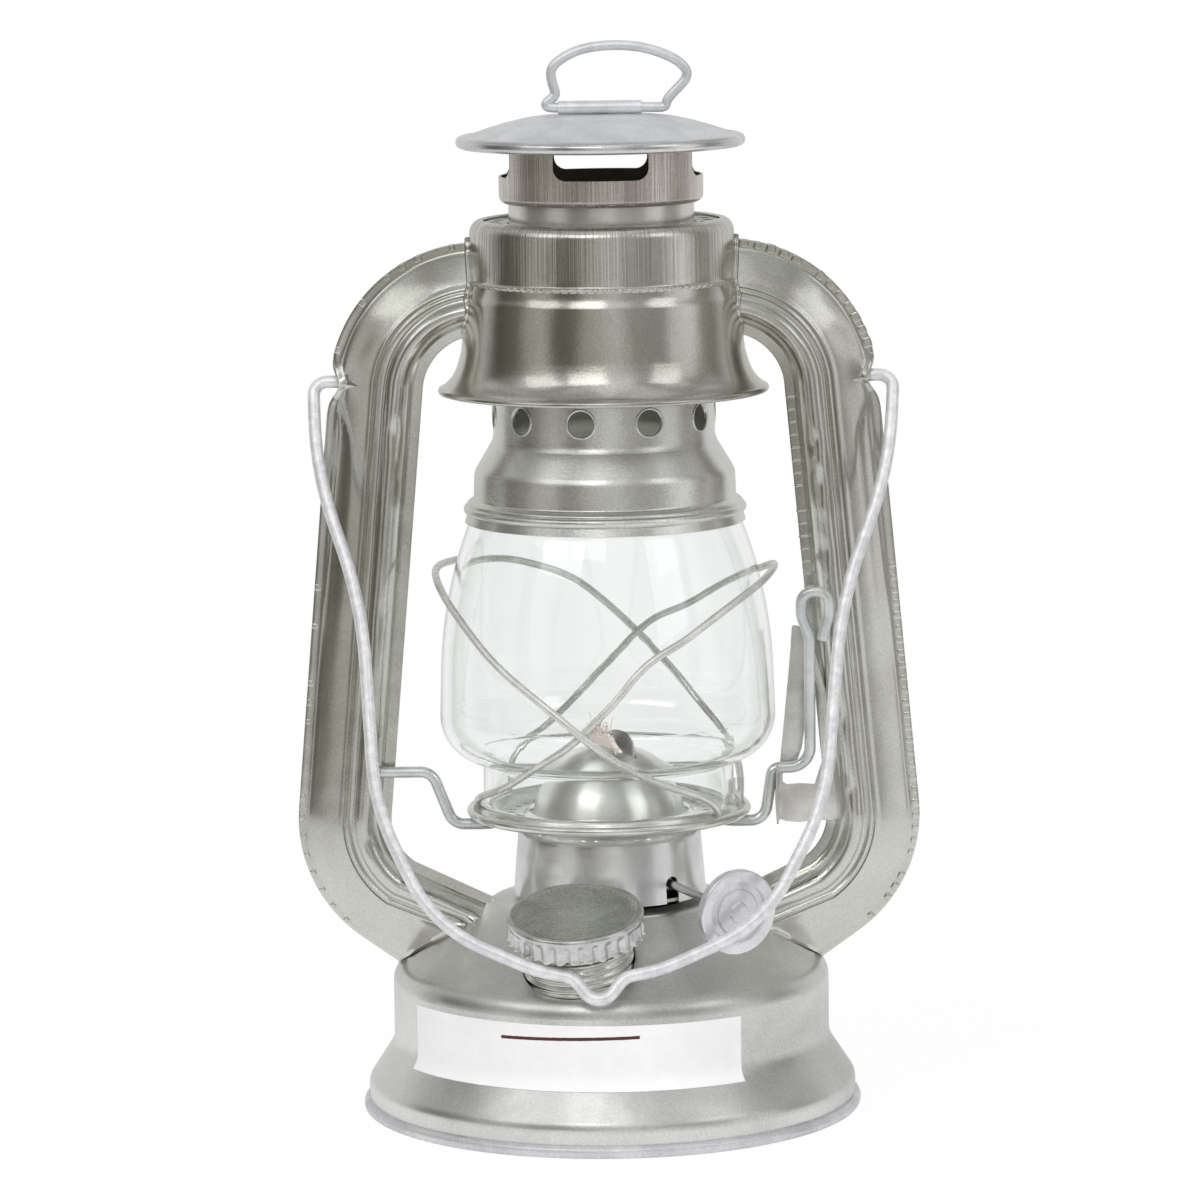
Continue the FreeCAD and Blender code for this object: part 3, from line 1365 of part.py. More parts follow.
bail_half = [
    (S.bail_pin_end, 0, 0),
    (S.bail_shoulder, 0, 3.2),
    (S.bail_cheek, S.bail_cheek_drop, 90),
    (S.bail_waist, S.bail_waist_drop, 110),
    (S.bail_narrow, S.bail_narrow_drop, 60),
    (S.bail_corner, S.bail_corner_drop, 35),
    (S.bail_base, S.bail_base_drop, 36),
    (S.bail_grip, S.bail_grip_drop, 5),
]
bail_path = [(bail_point(x, drop), bend) for x, drop, bend in bail_half]
bail_path.append((bail_point(0, S.bail_tip_drop), 4))
bail_path += [(bail_point(-float(x), drop), bend) for x, drop, bend in bail_half[::-1]]
bail = shaped("bail", bent_wire(bail_path, S.bail_wire / 2), Wire=S.bail_wire)
bail.Placement = placed(0, 0, S.bail_height)

# Check every object, then write one STEP file for each node.
doc.recompute()
for item in doc.Objects:
    if "Invalid" in item.State or "Error" in item.State:
        raise RuntimeError("%s did not compute: %s" % (item.Name, item.State))
os.makedirs("parts", exist_ok=True)
for item in nodes:
    if item.Shape.isNull() or not item.Shape.isValid():
        raise RuntimeError("%s has no valid shape" % item.Label)
    item.Shape.exportStep("parts/%s.step" % item.Label)
    print("%-20s %4d faces %10.1f mm3" % (item.Label, len(item.Shape.Faces), item.Shape.Volume))
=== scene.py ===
import bmesh
import bpy
import math
import random
from mathutils import Matrix, Vector


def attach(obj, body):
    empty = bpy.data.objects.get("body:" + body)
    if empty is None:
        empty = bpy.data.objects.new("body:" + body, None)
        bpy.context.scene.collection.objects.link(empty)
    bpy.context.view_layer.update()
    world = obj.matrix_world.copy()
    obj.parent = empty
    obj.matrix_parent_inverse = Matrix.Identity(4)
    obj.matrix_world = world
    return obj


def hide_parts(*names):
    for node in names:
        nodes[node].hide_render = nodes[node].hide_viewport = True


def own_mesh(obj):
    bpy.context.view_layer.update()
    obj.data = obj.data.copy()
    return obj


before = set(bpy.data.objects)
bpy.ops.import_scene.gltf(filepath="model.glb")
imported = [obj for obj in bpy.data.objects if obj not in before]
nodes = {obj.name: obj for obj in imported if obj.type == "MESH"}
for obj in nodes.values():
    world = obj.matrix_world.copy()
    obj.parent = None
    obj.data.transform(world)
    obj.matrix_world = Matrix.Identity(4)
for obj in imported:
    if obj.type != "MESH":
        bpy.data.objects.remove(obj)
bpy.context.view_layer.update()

scene = bpy.context.scene
scene.view_settings.view_transform = "Standard"


# Camera: a long lens 1.4 m in front of the lantern and a little above it, which looks
# slightly down and leans by under a degree, as the photograph does.
frame_pixels, lens_pixels = 1200, 5809.0
middle_right, middle_down = 6.5, 13.0
camera_back, camera_up = 1.380, 0.318
look_down, lean_over = 8.165, 0.75
camera_data = bpy.data.cameras.new("camera")
camera_data.sensor_width = 36.0
camera_data.lens = lens_pixels / frame_pixels * camera_data.sensor_width
camera_data.clip_start = 0.05
camera_data.clip_end = 20.0
camera_data.shift_x = -middle_right / frame_pixels
camera_data.shift_y = middle_down / frame_pixels
camera = bpy.data.objects.new("camera", camera_data)
scene.collection.objects.link(camera)
camera.matrix_world = (
    Matrix.Translation((0.0, -camera_back, camera_up))
    @ Matrix.Rotation(math.radians(90 - look_down), 4, "X")
    @ Matrix.Rotation(math.radians(-lean_over), 4, "Z")
)
scene.camera = camera


# Studio light: a white backdrop behind the lantern and a pale ceiling, with the softer,
# uneven grey of a room on the camera's side, which is what the bright tin mirrors.
def step(tree, kind, inputs=None, **settings):
    """Add a node and return its outputs; an input is a plain value or another node's output."""
    kinds = [family + kind for family in ("ShaderNode", "GeometryNode", "FunctionNode")]
    made = tree.nodes.new(next(kind for kind in kinds if hasattr(bpy.types, kind)))
    for name, value in settings.items():
        setattr(made, name, value)
    for name, value in (inputs or {}).items():
        if isinstance(value, bpy.types.NodeSocket):
            tree.links.new(value, made.inputs[name])
        else:
            made.inputs[name].default_value = value
    return made.outputs


def math_step(tree, operation, first, second=0.5, third=None, clamp=False):
    """Add one arithmetic node and return its output."""
    inputs = {0: first, 1: second}
    if third is not None:
        inputs[2] = third
    return step(tree, "Math", inputs, operation=operation, use_clamp=clamp)[0]


def ramp(tree, factor, stops, smooth="EASE"):
    """Add a colour ramp from (position, colour) stops and return its output."""
    made = tree.nodes.new("ShaderNodeValToRGB")
    tree.links.new(factor, made.inputs["Fac"])
    made.color_ramp.interpolation = smooth
    band = made.color_ramp.elements
    while len(band) < len(stops):
        band.new(0.5)
    for element, (spot, color) in zip(band, stops):
        element.position = spot
        element.color = (*color, 1.0) if len(color) == 3 else color
    return made.outputs["Color"]


def noise(tree, at, scale, detail=2.0, rough=0.5, **more):
    """Add a cloudy noise and return its value."""
    inputs = {"Vector": at, "Scale": scale, "Detail": detail, "Roughness": rough, **more}
    return step(tree, "TexNoise", inputs)["Fac"]


def mixed(tree, part, first, second):
    """Blend two colours and return the result."""
    return step(tree, "Mix", {0: part, 6: first, 7: second}, data_type="RGBA")[2]


def grey(level, warm=0.0):
    """A grey that leans towards yellow as warm rises."""
    return (level * (1 + warm * 0.5), level * (1 + warm * 0.12), level * (1 - warm))


world = bpy.data.worlds.new("studio")
scene.world = world
world.use_nodes = True
room = world.node_tree
room.nodes.clear()
toward = step(room, "TexCoord")["Generated"]
side, depth, height = step(room, "SeparateXYZ", {"Vector": toward})
round_the_room = math_step(room, "ARCTAN2", side, math_step(room, "MULTIPLY", depth, -1.0))
turn = math_step(room, "MULTIPLY_ADD", round_the_room, 0.5 / math.pi, 0.5)
walls = ramp(room, turn, [(spot, grey(level, warm)) for spot, level, warm in (
    (0.00, 0.80, 0.02), (0.08, 0.74, 0.02), (0.13, 0.62, 0.03), (0.185, 0.22, 0.10), (0.235, 0.09, 0.14),
    (0.285, 0.14, 0.14), (0.330, 0.42, 0.06), (0.365, 0.50, 0.04), (0.395, 0.13, 0.14), (0.430, 0.14, 0.12),
    (0.465, 0.40, 0.05), (0.526, 0.60, 0.02), (0.570, 0.34, 0.05), (0.640, 0.30, 0.05), (0.675, 0.66, 0.01),
    (0.715, 0.76, 0.01), (0.750, 0.28, 0.08), (0.800, 0.20, 0.10), (0.870, 0.50, 0.04), (1.00, 0.80, 0.02),
)])
ceiling_part = ramp(room, height, [(0.30, (0, 0, 0)), (0.66, (1, 1, 1))])
ceiling_patch = noise(room, toward, 2.6)
ceiling = ramp(room, ceiling_patch, [(0.38, grey(0.34, 0.03)), (0.62, grey(0.60, -0.02))])
window = ramp(room, turn, [(0.44, (0, 0, 0)), (0.48, (1, 1, 1)), (0.55, (1, 1, 1)), (0.60, (0, 0, 0))])
ceiling = mixed(room, window, ceiling, (*grey(0.80), 1))
lit_room = mixed(room, ceiling_part, walls, ceiling)
room_light = step(room, "Background", {"Color": lit_room, "Strength": 1.0})
rays = step(room, "LightPath")
mirrored = math_step(room, "SUBTRACT", rays["Is Glossy Ray"], rays["Is Transmission Ray"], clamp=True)
backdrop_color = mixed(room, mirrored, (1, 1, 1, 1), (0.66, 0.66, 0.65, 1))
backdrop = step(room, "Background", {"Color": backdrop_color, "Strength": 1.0})
behind = math_step(room, "MULTIPLY_ADD", depth, 3.0, -0.6, clamp=True)
behind = math_step(room, "MULTIPLY", behind, math_step(room, "MULTIPLY_ADD", height, -4.0, 2.2, clamp=True))
seen_bent = math_step(room, "MAXIMUM", rays["Is Glossy Ray"], rays["Is Transmission Ray"])
seen_bent = math_step(room, "MULTIPLY", seen_bent, behind)
white_part = math_step(room, "MAXIMUM", rays["Is Camera Ray"], seen_bent)
sky = step(room, "MixShader", {0: white_part, 1: room_light[0], 2: backdrop[0]})
step(room, "OutputWorld", {"Surface": sky[0]})

lamp_aim = Vector((0, 0, 0.12))
for name, spot, width, tall, power, mirrored in (
    ("key_light", (-0.75, -0.95, 1.10), 0.9, 0.9, 9.0, False),
    ("fill_light", (0.95, -0.80, 0.70), 0.6, 1.0, 4.0, False),
    ("top_light", (0.0, 0.15, 1.30), 1.2, 0.9, 4.0, False),
    ("left_glint", (-0.85, -0.62, 0.95), 0.60, 0.50, 0.7, True),
    ("right_glint", (0.92, -0.66, 0.85), 0.50, 0.50, 0.5, True),
    ("front_glint", (-0.20, -0.82, 0.80), 0.44, 0.36, 0.6, True),
):
    lamp_data = bpy.data.lights.new(name, "AREA")
    lamp_data.shape = "RECTANGLE"
    lamp_data.size = width
    lamp_data.size_y = tall
    lamp_data.energy = power
    lamp = bpy.data.objects.new(name, lamp_data)
    lamp.location = spot
    lamp.rotation_euler = (lamp_aim - Vector(spot)).to_track_quat("-Z", "Y").to_euler()
    lamp.visible_glossy = mirrored
    scene.collection.objects.link(lamp)


# Floor: a plain pale sheet, white to the camera apart from the lantern's soft shadow. It
# fades out towards its rim, so that no edge of it shows.
def start_material(name):
    """An empty node material, its tree, and each shaded point's place on the object."""
    made = bpy.data.materials.new(name)
    made.use_nodes = True
    tree = made.node_tree
    tree.nodes.clear()
    return made, tree, step(tree, "TexCoord")["Object"]


floor_mesh = bpy.data.meshes.new("floor")
floor_half = 0.8
corners = [(x * floor_half, y * floor_half, 0) for x, y in ((-1, -1), (1, -1), (1, 1), (-1, 1))]
floor_mesh.from_pydata(corners, [], [(0, 1, 2, 3)])
floor = bpy.data.objects.new("floor", floor_mesh)
scene.collection.objects.link(floor)
pale, tree, spot = start_material("pale_floor")
mottle = noise(tree, spot, 3.0, 3.0)
matt_color = ramp(tree, mottle, [(0.3, (0.86, 0.86, 0.86)), (0.7, (0.90, 0.90, 0.90))])
matt = step(tree, "BsdfPrincipled", {"Base Color": matt_color, "Roughness": 0.8})
from_middle = step(tree, "VectorMath", {0: spot}, operation="LENGTH")["Value"]
near_glow = ramp(tree, from_middle, [(0.10, grey(0.80)), (0.34, grey(0.72)), (0.70, grey(0.40))])
rays = step(tree, "LightPath")
seen = math_step(tree, "ADD", rays["Is Camera Ray"], rays["Is Transmission Ray"], clamp=True)
glow_color = mixed(tree, seen, near_glow, (1, 1, 1, 1))
glow = step(tree, "Emission", {"Color": glow_color, "Strength": 1.0})
lift = math_step(tree, "MULTIPLY", seen, 0.97)
lift = math_step(tree, "MAXIMUM", lift, math_step(tree, "MULTIPLY", rays["Is Glossy Ray"], 0.85))
both = step(tree, "MixShader", {0: lift, 1: matt[0], 2: glow[0]})
fade = ramp(tree, from_middle, [(0.42, (0, 0, 0)), (0.74, (1, 1, 1))])
away = step(tree, "BsdfTransparent")
edgeless = step(tree, "MixShader", {0: fade, 1: both[0], 2: away[0]})
step(tree, "OutputMaterial", {"Surface": edgeless[0]})
floor.data.materials.append(pale)


# Tank: a drawn shell of tinplate with a flared foot, a domed top and a rolled bottom ring.
# The tin is satin, with fine turning lines round it.
def group(name, kind, inputs, outputs=(("Geometry", "Geometry"),)):
    """Start a node group; its inputs are (name, kind, value if any) and its outputs (name, kind)."""
    tree = bpy.data.node_groups.new(name, kind)
    for side, rows in (("INPUT", inputs), ("OUTPUT", outputs)):
        for title, socket_kind, *value in rows:
            socket = tree.interface.new_socket(title, in_out=side, socket_type="NodeSocket" + socket_kind)
            if value:
                socket.default_value = value[0]
    return tree, tree.nodes.new("NodeGroupInput").outputs, tree.nodes.new("NodeGroupOutput").inputs


def use(tree, shared, **values):
    """Place a node group in a material, set its named inputs and return its outputs."""
    inputs = {name.replace("_", " "): value for name, value in values.items()}
    return step(tree, "Group", inputs, node_tree=shared)


# The finish of pressed tin: broad cloudy patches, fine lines left by the tool that run
# round the lamp or along a piece, and a scatter of small dull specks.
tin_finish, given, result = group("tin_finish", "ShaderNodeTree", [
    ("Place", "Vector"), ("Round lines", "Float", 900.0), ("Upright lines", "Float", 0.0),
    ("Upright above", "Float", -1.0), ("Cloud size", "Float", 22.0), ("Dents", "Float", 0.25),
    ("Dull above", "Float", 1.0), ("Grain", "Float", 0.30), ("Bright", "Color", (0.80, 0.80, 0.77, 1)),
    ("Dull", "Color", (0.60, 0.60, 0.56, 1)), ("Gloss", "Float", 0.25), ("Gloss spread", "Float", 0.12),
], [("Color", "Color"), ("Roughness", "Float"), ("Normal", "Vector")])


def coat(kind, inputs, **settings):
    """Add one node to tin_finish and return its outputs."""
    return step(tin_finish, kind, inputs, **settings)


def sum_up(operation, *values, clamp=False):
    """Add one arithmetic node to tin_finish and return its output."""
    return math_step(tin_finish, operation, *values, clamp=clamp)


up = coat("SeparateXYZ", {"Vector": given["Place"]})[2]
level = coat("VectorMath", {0: given["Place"], 1: (1, 1, 0)}, operation="MULTIPLY")[0]
facing = coat("VectorMath", {0: level}, operation="NORMALIZE")[0]


def fine_lines(turning, rise, detail, rough):
    """Noise drawn out in lines, by how fast it changes round the lamp and how fast up it."""
    flat = coat("VectorMath", {0: facing, "Scale": turning}, operation="SCALE")[0]
    upward = coat("CombineXYZ", {2: sum_up("MULTIPLY", up, rise)})[0]
    at = coat("VectorMath", {0: flat, 1: upward}, operation="ADD")[0]
    return noise(tin_finish, at, 1.0, detail, rough)


upright = fine_lines(given["Upright lines"], 9.0, 3.0, 0.6)
lines = fine_lines(1.6, given["Round lines"], 4.0, 0.65)
cloud = noise(tin_finish, given["Place"], given["Cloud size"], 5.0, 0.55, Distortion=0.6)
speck = noise(tin_finish, given["Place"], 1900.0)
speck_part = ramp(tin_finish, speck, [(0.30, (0, 0, 0)), (0.72, (1, 1, 1))], "LINEAR")
cloud_part = ramp(tin_finish, cloud, [(0.34, (0, 0, 0)), (0.68, (1, 1, 1))])
streak = sum_up("SUBTRACT", upright, 0.5)
streak = sum_up("MULTIPLY", streak, sum_up("MULTIPLY", given["Upright lines"], 0.012, clamp=True))
above = sum_up("MULTIPLY", sum_up("SUBTRACT", up, given["Upright above"]), 400.0, clamp=True)
streak = sum_up("MULTIPLY", streak, above)
dull = sum_up("MULTIPLY_ADD", cloud_part, 0.55, 0.0)
dull = sum_up("MULTIPLY_ADD", speck_part, given["Grain"], dull)
dull = sum_up("MULTIPLY_ADD", streak, 3.6, dull, clamp=True)
# Painted shade: above a given height the colour is pushed towards the dark colour.
painted_shade_high = sum_up("MULTIPLY", sum_up("SUBTRACT", up, given["Dull above"]), 40.0, clamp=True)
dull = sum_up("MULTIPLY_ADD", painted_shade_high, 0.50, dull, clamp=True)
tin_color = mixed(tin_finish, dull, given["Bright"], given["Dull"])
shine = sum_up("MULTIPLY_ADD", cloud, given["Gloss spread"], given["Gloss"])
shine = sum_up("MULTIPLY_ADD", lines, 0.05, shine)
shine = sum_up("MULTIPLY_ADD", streak, 0.35, shine, clamp=True)
dent = noise(tin_finish, given["Place"], 55.0, 2.0, 0.4)
fine = sum_up("MULTIPLY_ADD", streak, 6.0, sum_up("MULTIPLY_ADD", lines, 0.35, speck))
bumps = coat("Bump", {"Strength": given["Dents"], "Distance": 0.004, "Height": dent})[0]
bumps = coat("Bump", {"Strength": 0.22, "Distance": 0.00006, "Height": fine, "Normal": bumps})[0]
for title, socket in (("Color", tin_color), ("Roughness", shine), ("Normal", bumps)):
    tin_finish.links.new(socket, result[title])


def tin(name, bright, dull, gloss, metal=1.0, stretch=0.0, **values):
    """A finish from tin_finish: metal is how mirror-like it is, and stretch draws glints upwards."""
    made, tree, place = start_material(name)
    bright, dull = (*bright, 1), (*dull, 1)
    coating = use(tree, tin_finish, Place=place, Bright=bright, Dull=dull, Gloss=gloss, **values)
    inputs = {
        "Base Color": coating["Color"], "Roughness": coating["Roughness"], "Normal": coating["Normal"],
        "Metallic": metal, "Anisotropic": stretch, "Anisotropic Rotation": 0.25,
    }
    if stretch:
        inputs["Tangent"] = step(tree, "Tangent", direction_type="RADIAL", axis="Z")[0]
    step(tree, "OutputMaterial", {"Surface": step(tree, "BsdfPrincipled", inputs)[0]})
    return made


def dress(material, *names):
    """Give the named CAD nodes their finish."""
    for name in names:
        nodes[name].data.materials.clear()
        nodes[name].data.materials.append(material)


satin_tin = tin("satin_tin", (0.92, 0.92, 0.91), (0.58, 0.58, 0.56), 0.25,
                Cloud_size=26.0, Dents=0.12, Grain=0.42)
rim_tin = tin("rim_tin", (0.88, 0.88, 0.91), (0.60, 0.60, 0.63), 0.32, metal=0.7,
              Cloud_size=80.0, Dents=0.12, Grain=0.5)
dress(satin_tin, "tank_shell")
dress(rim_tin, "tank_bottom")


# Blank label: a strip of white foil stuck round the front of the tank, left without any
# words, with only a plain dark red line pressed on it for the fill level.
label_white = (0.94, 0.94, 0.95)
line_red = (0.085, 0.014, 0.018)
line_from, line_to = -0.0260, 0.0065
line_up, line_half, line_rise = 0.02723, 0.00045, 0.0227
label_foil, tree, place = start_material("label_foil")
across, _, up = step(tree, "SeparateXYZ", {"Vector": place})
waver = noise(tree, place, 900.0)
from_line = math_step(tree, "MULTIPLY_ADD", across, -line_rise, up)
from_line = math_step(tree, "ABSOLUTE", math_step(tree, "SUBTRACT", from_line, line_up))
from_line = math_step(tree, "MULTIPLY_ADD", waver, 0.00012, from_line)
on_line = math_step(tree, "LESS_THAN", from_line, line_half)
past_left = math_step(tree, "GREATER_THAN", across, line_from)
past_right = math_step(tree, "LESS_THAN", across, line_to)
on_line = math_step(tree, "MULTIPLY", on_line, math_step(tree, "MULTIPLY", past_left, past_right))
fibre = noise(tree, place, 420.0, 4.0)
soft = noise(tree, place, 60.0)
sheet_tone = math_step(tree, "MULTIPLY_ADD", fibre, 0.4, math_step(tree, "MULTIPLY", soft, 0.6))
label_grey = tuple(level * 0.94 for level in label_white)
sheet_color = ramp(tree, sheet_tone, [(0.30, label_grey), (0.70, label_white)])
both = mixed(tree, on_line, sheet_color, (*line_red, 1))
creases = step(tree, "Bump", {"Strength": 0.25, "Distance": 0.0004, "Height": soft})[0]
sheen = math_step(tree, "MULTIPLY_ADD", fibre, 0.2, 0.32)
foil = step(tree, "BsdfPrincipled", {"Base Color": both, "Normal": creases, "Roughness": sheen})
step(tree, "OutputMaterial", {"Surface": foil[0]})
dress(label_foil, "blank_label")


# Filler: a threaded neck soldered into the dome, a black rubber washer, and a pressed cap
# with a dished top, a rounded rim and 29 finger flutes that end in a ragged lower edge.
# Sizes of drawn shapes, here and below, are in millimetres.
mm = 0.001
cap_radius, cap_bore, cap_height, cap_flutes = 16.1, 14.6, 5.6, 29
filler_up, filler_out, filler_turn, filler_tilt = 43.811, 38.5, -11.5, 15.0
filler_lean = (
    Matrix.Translation((0, 0, filler_up))
    @ Matrix.Rotation(math.radians(filler_turn), 4, "Z")
    @ Matrix.Translation((0, -filler_out, 0))
    @ Matrix.Rotation(math.radians(filler_tilt), 4, "X")
    @ Matrix.Translation((0, 0, cap_height))
)
standing = Matrix.Identity(4)


def smooth_step(low, high, value):
    """0 up to low and 1 from high on, with a soft rise between them."""
    part = min(max((value - low) / (high - low), 0.0), 1.0)
    return part * part * (3 - 2 * part)


def finish_mesh(name, shape, sharp=38.0):
    """Close a bmesh into an object at the origin, with outward faces and smooth shading."""
    bmesh.ops.remove_doubles(shape, verts=shape.verts, dist=1e-6)
    bmesh.ops.recalc_face_normals(shape, faces=shape.faces)
    mesh = bpy.data.meshes.new(name)
    shape.to_mesh(mesh)
    shape.free()
    mesh.shade_smooth()
    mesh.set_sharp_from_angle(angle=math.radians(sharp))
    made = bpy.data.objects.new(name, mesh)
    scene.collection.objects.link(made)
    return made


def lathe(name, material, profile, place=standing, count=96, shape=None, sharp=38.0):
    """Turn an outline of (radius, height) in millimetres; shape may move each point."""
    turned = bmesh.new()
    rows = []
    for radius, height in profile:
        if radius < 1e-6:
            rows.append([turned.verts.new(place @ Vector((0, 0, height)) * mm)])
            continue
        ring = []
        for index in range(count):
            angle = math.tau * index / count
            r, h = shape(radius, height, angle) if shape else (radius, height)
            ring.append(turned.verts.new(place @ Vector((r * math.cos(angle), r * math.sin(angle), h)) * mm))
        rows.append(ring)
    for low, high in zip(rows, rows[1:]):
        for index in range(count):
            after = (index + 1) % count
            corners = [low[index % len(low)], low[after % len(low)]]
            corners += [high[after % len(high)], high[index % len(high)]]
            turned.faces.new(list(dict.fromkeys(corners)))
    made = finish_mesh(name, turned, sharp)
    made.data.materials.append(material)
    return made


dice = random.Random(29)
flute_drop = [dice.uniform(-0.35, 0.28) for _ in range(cap_flutes + 1)]
flute_drop[-1] = flute_drop[0]
skirt_top, flute_deep, skirt_flare, edge_rise = 4.7, 0.85, 0.35, 0.42


def cap_press(radius, height, angle):
    """Finger flutes round the skirt, and the uneven edge where the press let go."""
    if radius < cap_bore + 0.5 or height > skirt_top:
        return radius, height
    turn = angle / math.tau * cap_flutes
    valley = (0.5 + 0.5 * math.cos(math.tau * turn)) ** 1.6
    reach = 1 - smooth_step(3.3, 4.6, height)
    low = 1 - smooth_step(0.0, 1.6, height)
    before = int(turn)
    drop, following = flute_drop[before:before + 2]
    drop += (following - drop) * smooth_step(0.2, 0.8, turn - before)
    radius -= flute_deep * valley * reach
    radius += skirt_flare * low * (1 - valley)
    height += low * (edge_rise * valley - drop * 0.8)
    return radius, height


cap_side = (0.0, 0.35, 0.8, 1.3, 1.9, 2.5, 3.1, 3.6, 4.1, 4.5)
cap_outline = [(0, 4.55), (6, 4.55), (cap_bore - 0.3, 4.55)]
cap_outline += [(cap_bore, 4.5), (cap_bore, 1.2), (cap_bore + 0.1, 0.3), (cap_bore + 0.9, 0.0)]
cap_outline += [(cap_radius - 0.1, height) for height in cap_side]
cap_outline += [(cap_radius - inward, height) for inward, height in (
    (-0.02, 4.9), (0.0, 5.3), (0.15, 5.75), (0.5, 6.03), (1.0, 6.1), (1.5, 6.0), (1.9, 5.72), (2.3, 5.56),
)]
cap_dish = cap_height - 0.22
cap_outline += [(radius, cap_dish + 0.0012 * radius * radius) for radius in (13.0, 11.0, 8.5, 6.0, 3.0)]
cap_outline.append((0, cap_dish))
# The cap's top and its skirt get separate tins: painted shade on the top and painted light on the skirt, for
# what each mirrors, besides their different grain and gloss.
cap_tin = tin("cap_tin", (0.94, 0.96, 0.91), (0.46, 0.48, 0.44), 0.22, Cloud_size=60.0, Dents=0.55,
              Round_lines=90.0, Grain=0.75, Gloss_spread=0.30)
cap_side_tin = tin("cap_side_tin", (0.82, 0.83, 0.82), (0.52, 0.53, 0.52), 0.16,
                   Cloud_size=220.0, Dents=0.15)
cap = lathe("filler_cap_pressing", cap_tin, cap_outline, filler_lean, cap_flutes * 10, cap_press)
cap.data.materials.append(cap_side_tin)
cap_upright = filler_lean.inverted() @ Matrix.Scale(1 / mm, 4)
side_from = cap_radius - 1.4
for face in cap.data.polygons:
    middle = cap_upright @ face.center
    if math.hypot(middle.x, middle.y) > side_from:
        face.material_index = 1
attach(cap, "filler_lid")
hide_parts("filler_cap")
neck_tin = tin("neck_tin", (0.90, 0.90, 0.86), (0.60, 0.60, 0.54), 0.14, Cloud_size=90.0, Dents=0.20)
neck_low, neck_high, neck_radius, neck_bore = -21.0, 3.2, 12.55, 12.2
thread_pitch, thread_proud, thread_low, thread_step = 1.9, 0.62, -14.0, 0.24


def neck_thread(radius, height, angle):
    """The rolled thread: a rounded ridge that climbs round the neck and fades at both ends."""
    if radius > neck_bore + 0.1:
        wave = 0.5 + 0.5 * math.cos(math.tau * height / thread_pitch - angle)
        here = smooth_step(-13.0, -10.5, height) * (1 - smooth_step(1.6, 2.8, height))
        radius += thread_proud * wave ** 1.4 * here
    return radius, height


neck_profile = [(neck_bore, neck_high), (neck_bore, neck_low), (neck_radius, neck_low)]
neck_profile += [(neck_radius, thread_low + thread_step * index) for index in range(70)]
neck_profile += [(neck_radius, neck_high), (neck_bore, neck_high)]
neck = lathe("filler_neck_thread", neck_tin, neck_profile, filler_lean, 120, neck_thread, sharp=70.0)
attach(neck, "frame")
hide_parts("filler_neck")
rubber, tree, place = start_material("gasket_rubber")
bloom = noise(tree, place, 300.0, 4.0)
black = ramp(tree, bloom, [(0.35, (0.012, 0.012, 0.012)), (0.7, (0.035, 0.034, 0.033))])
pores = step(tree, "Bump", {"Strength": 0.3, "Distance": 0.0002, "Height": bloom})[0]
dry = math_step(tree, "MULTIPLY_ADD", bloom, 0.2, 0.55)
washer = step(tree, "BsdfPrincipled", {"Base Color": black, "Roughness": dry, "Normal": pores})
step(tree, "OutputMaterial", {"Surface": washer[0]})
dress(rubber, "cap_gasket")


# Side tubes: each is two pressed halves of tinplate, laid face to face and crimped along
# their flanges. The round channel carries the air down, beside a flat sloping panel.
# The tops of the tubes, above 186 mm, get painted shade.
tube_tin = tin("tube_tin", (0.82, 0.82, 0.78), (0.50, 0.50, 0.44), 0.11, Cloud_size=16.0, Dents=0.16,
               Dull_above=0.186, Round_lines=260.0)
tin_wall = 0.35
half_width, flange_inner, flange_outer = 11.2, 2.7, 2.6
channel_half, channel_deep = 3.7, 7.6
tube_start, tube_top, tube_low = 27.1, (52.25, 198.443, 25.0), (64.8, 59.1, 24.0)
foot_lean, foot_run, foot_half, foot_swell = math.radians(36.0), 13.8, 14.35, 1.2
foot_middle = (35.86, 41.05)
dome_edge, dome_rise = (52.6, 34.3), math.tan(math.radians(34.0))
bail_up, bail_hole = 176.6, 1.65
notch_deep, boss_proud, panel_sink = 2.4, 1.5, 0.85


def bump_at(value, centre, spread):
    """A smooth hump, 1 high at its centre."""
    return math.exp(-((value - centre) / spread) ** 2)


def straight_stations(first, last):
    """Stations along a straight run, closer together near the bail."""
    run = (last - first).length
    way = (last - first).normalized()
    found, done = [], 0.0
    while done < run - 0.2:
        found.append((first + way * done, way))
        near_bail = abs((first + way * done).y - bail_up) < 6.5
        done += 0.45 if near_bail else 1.6
    return found


def tube_line():
    """The middle line of a tube, from the hood to the foot, as (place, direction) stations."""
    start = (tube_start, tube_top[1])
    end = (tube_low[0] - foot_run * math.cos(foot_lean), tube_low[1] - foot_run * math.sin(foot_lean))
    corners = [start, tube_top, tube_low, end]
    stations, here, bend_parts = [], Vector(start), 34
    for before, corner, after in zip(corners, corners[1:], corners[2:]):
        at, bend = Vector(corner[:2]), corner[2]
        back = (Vector(before[:2]) - at).normalized()
        ahead = (Vector(after[:2]) - at).normalized()
        half = back.angle(ahead) / 2
        first, last = at + back * (bend / math.tan(half)), at + ahead * (bend / math.tan(half))
        middle = at + (back + ahead).normalized() * (bend / math.sin(half))
        stations += straight_stations(here, first)
        turn = math.pi - 2 * half
        spoke = first - middle
        for part in range(bend_parts):
            angle = -turn * part / bend_parts
            arm = Vector((spoke.x * math.cos(angle) - spoke.y * math.sin(angle),
                          spoke.x * math.sin(angle) + spoke.y * math.cos(angle)))
            stations.append((middle + arm, Vector((arm.y, -arm.x)).normalized()))
        here = last
    stations += straight_stations(here, Vector(end))
    stations.append((Vector(end), (Vector(end) - here).normalized()))
    return stations


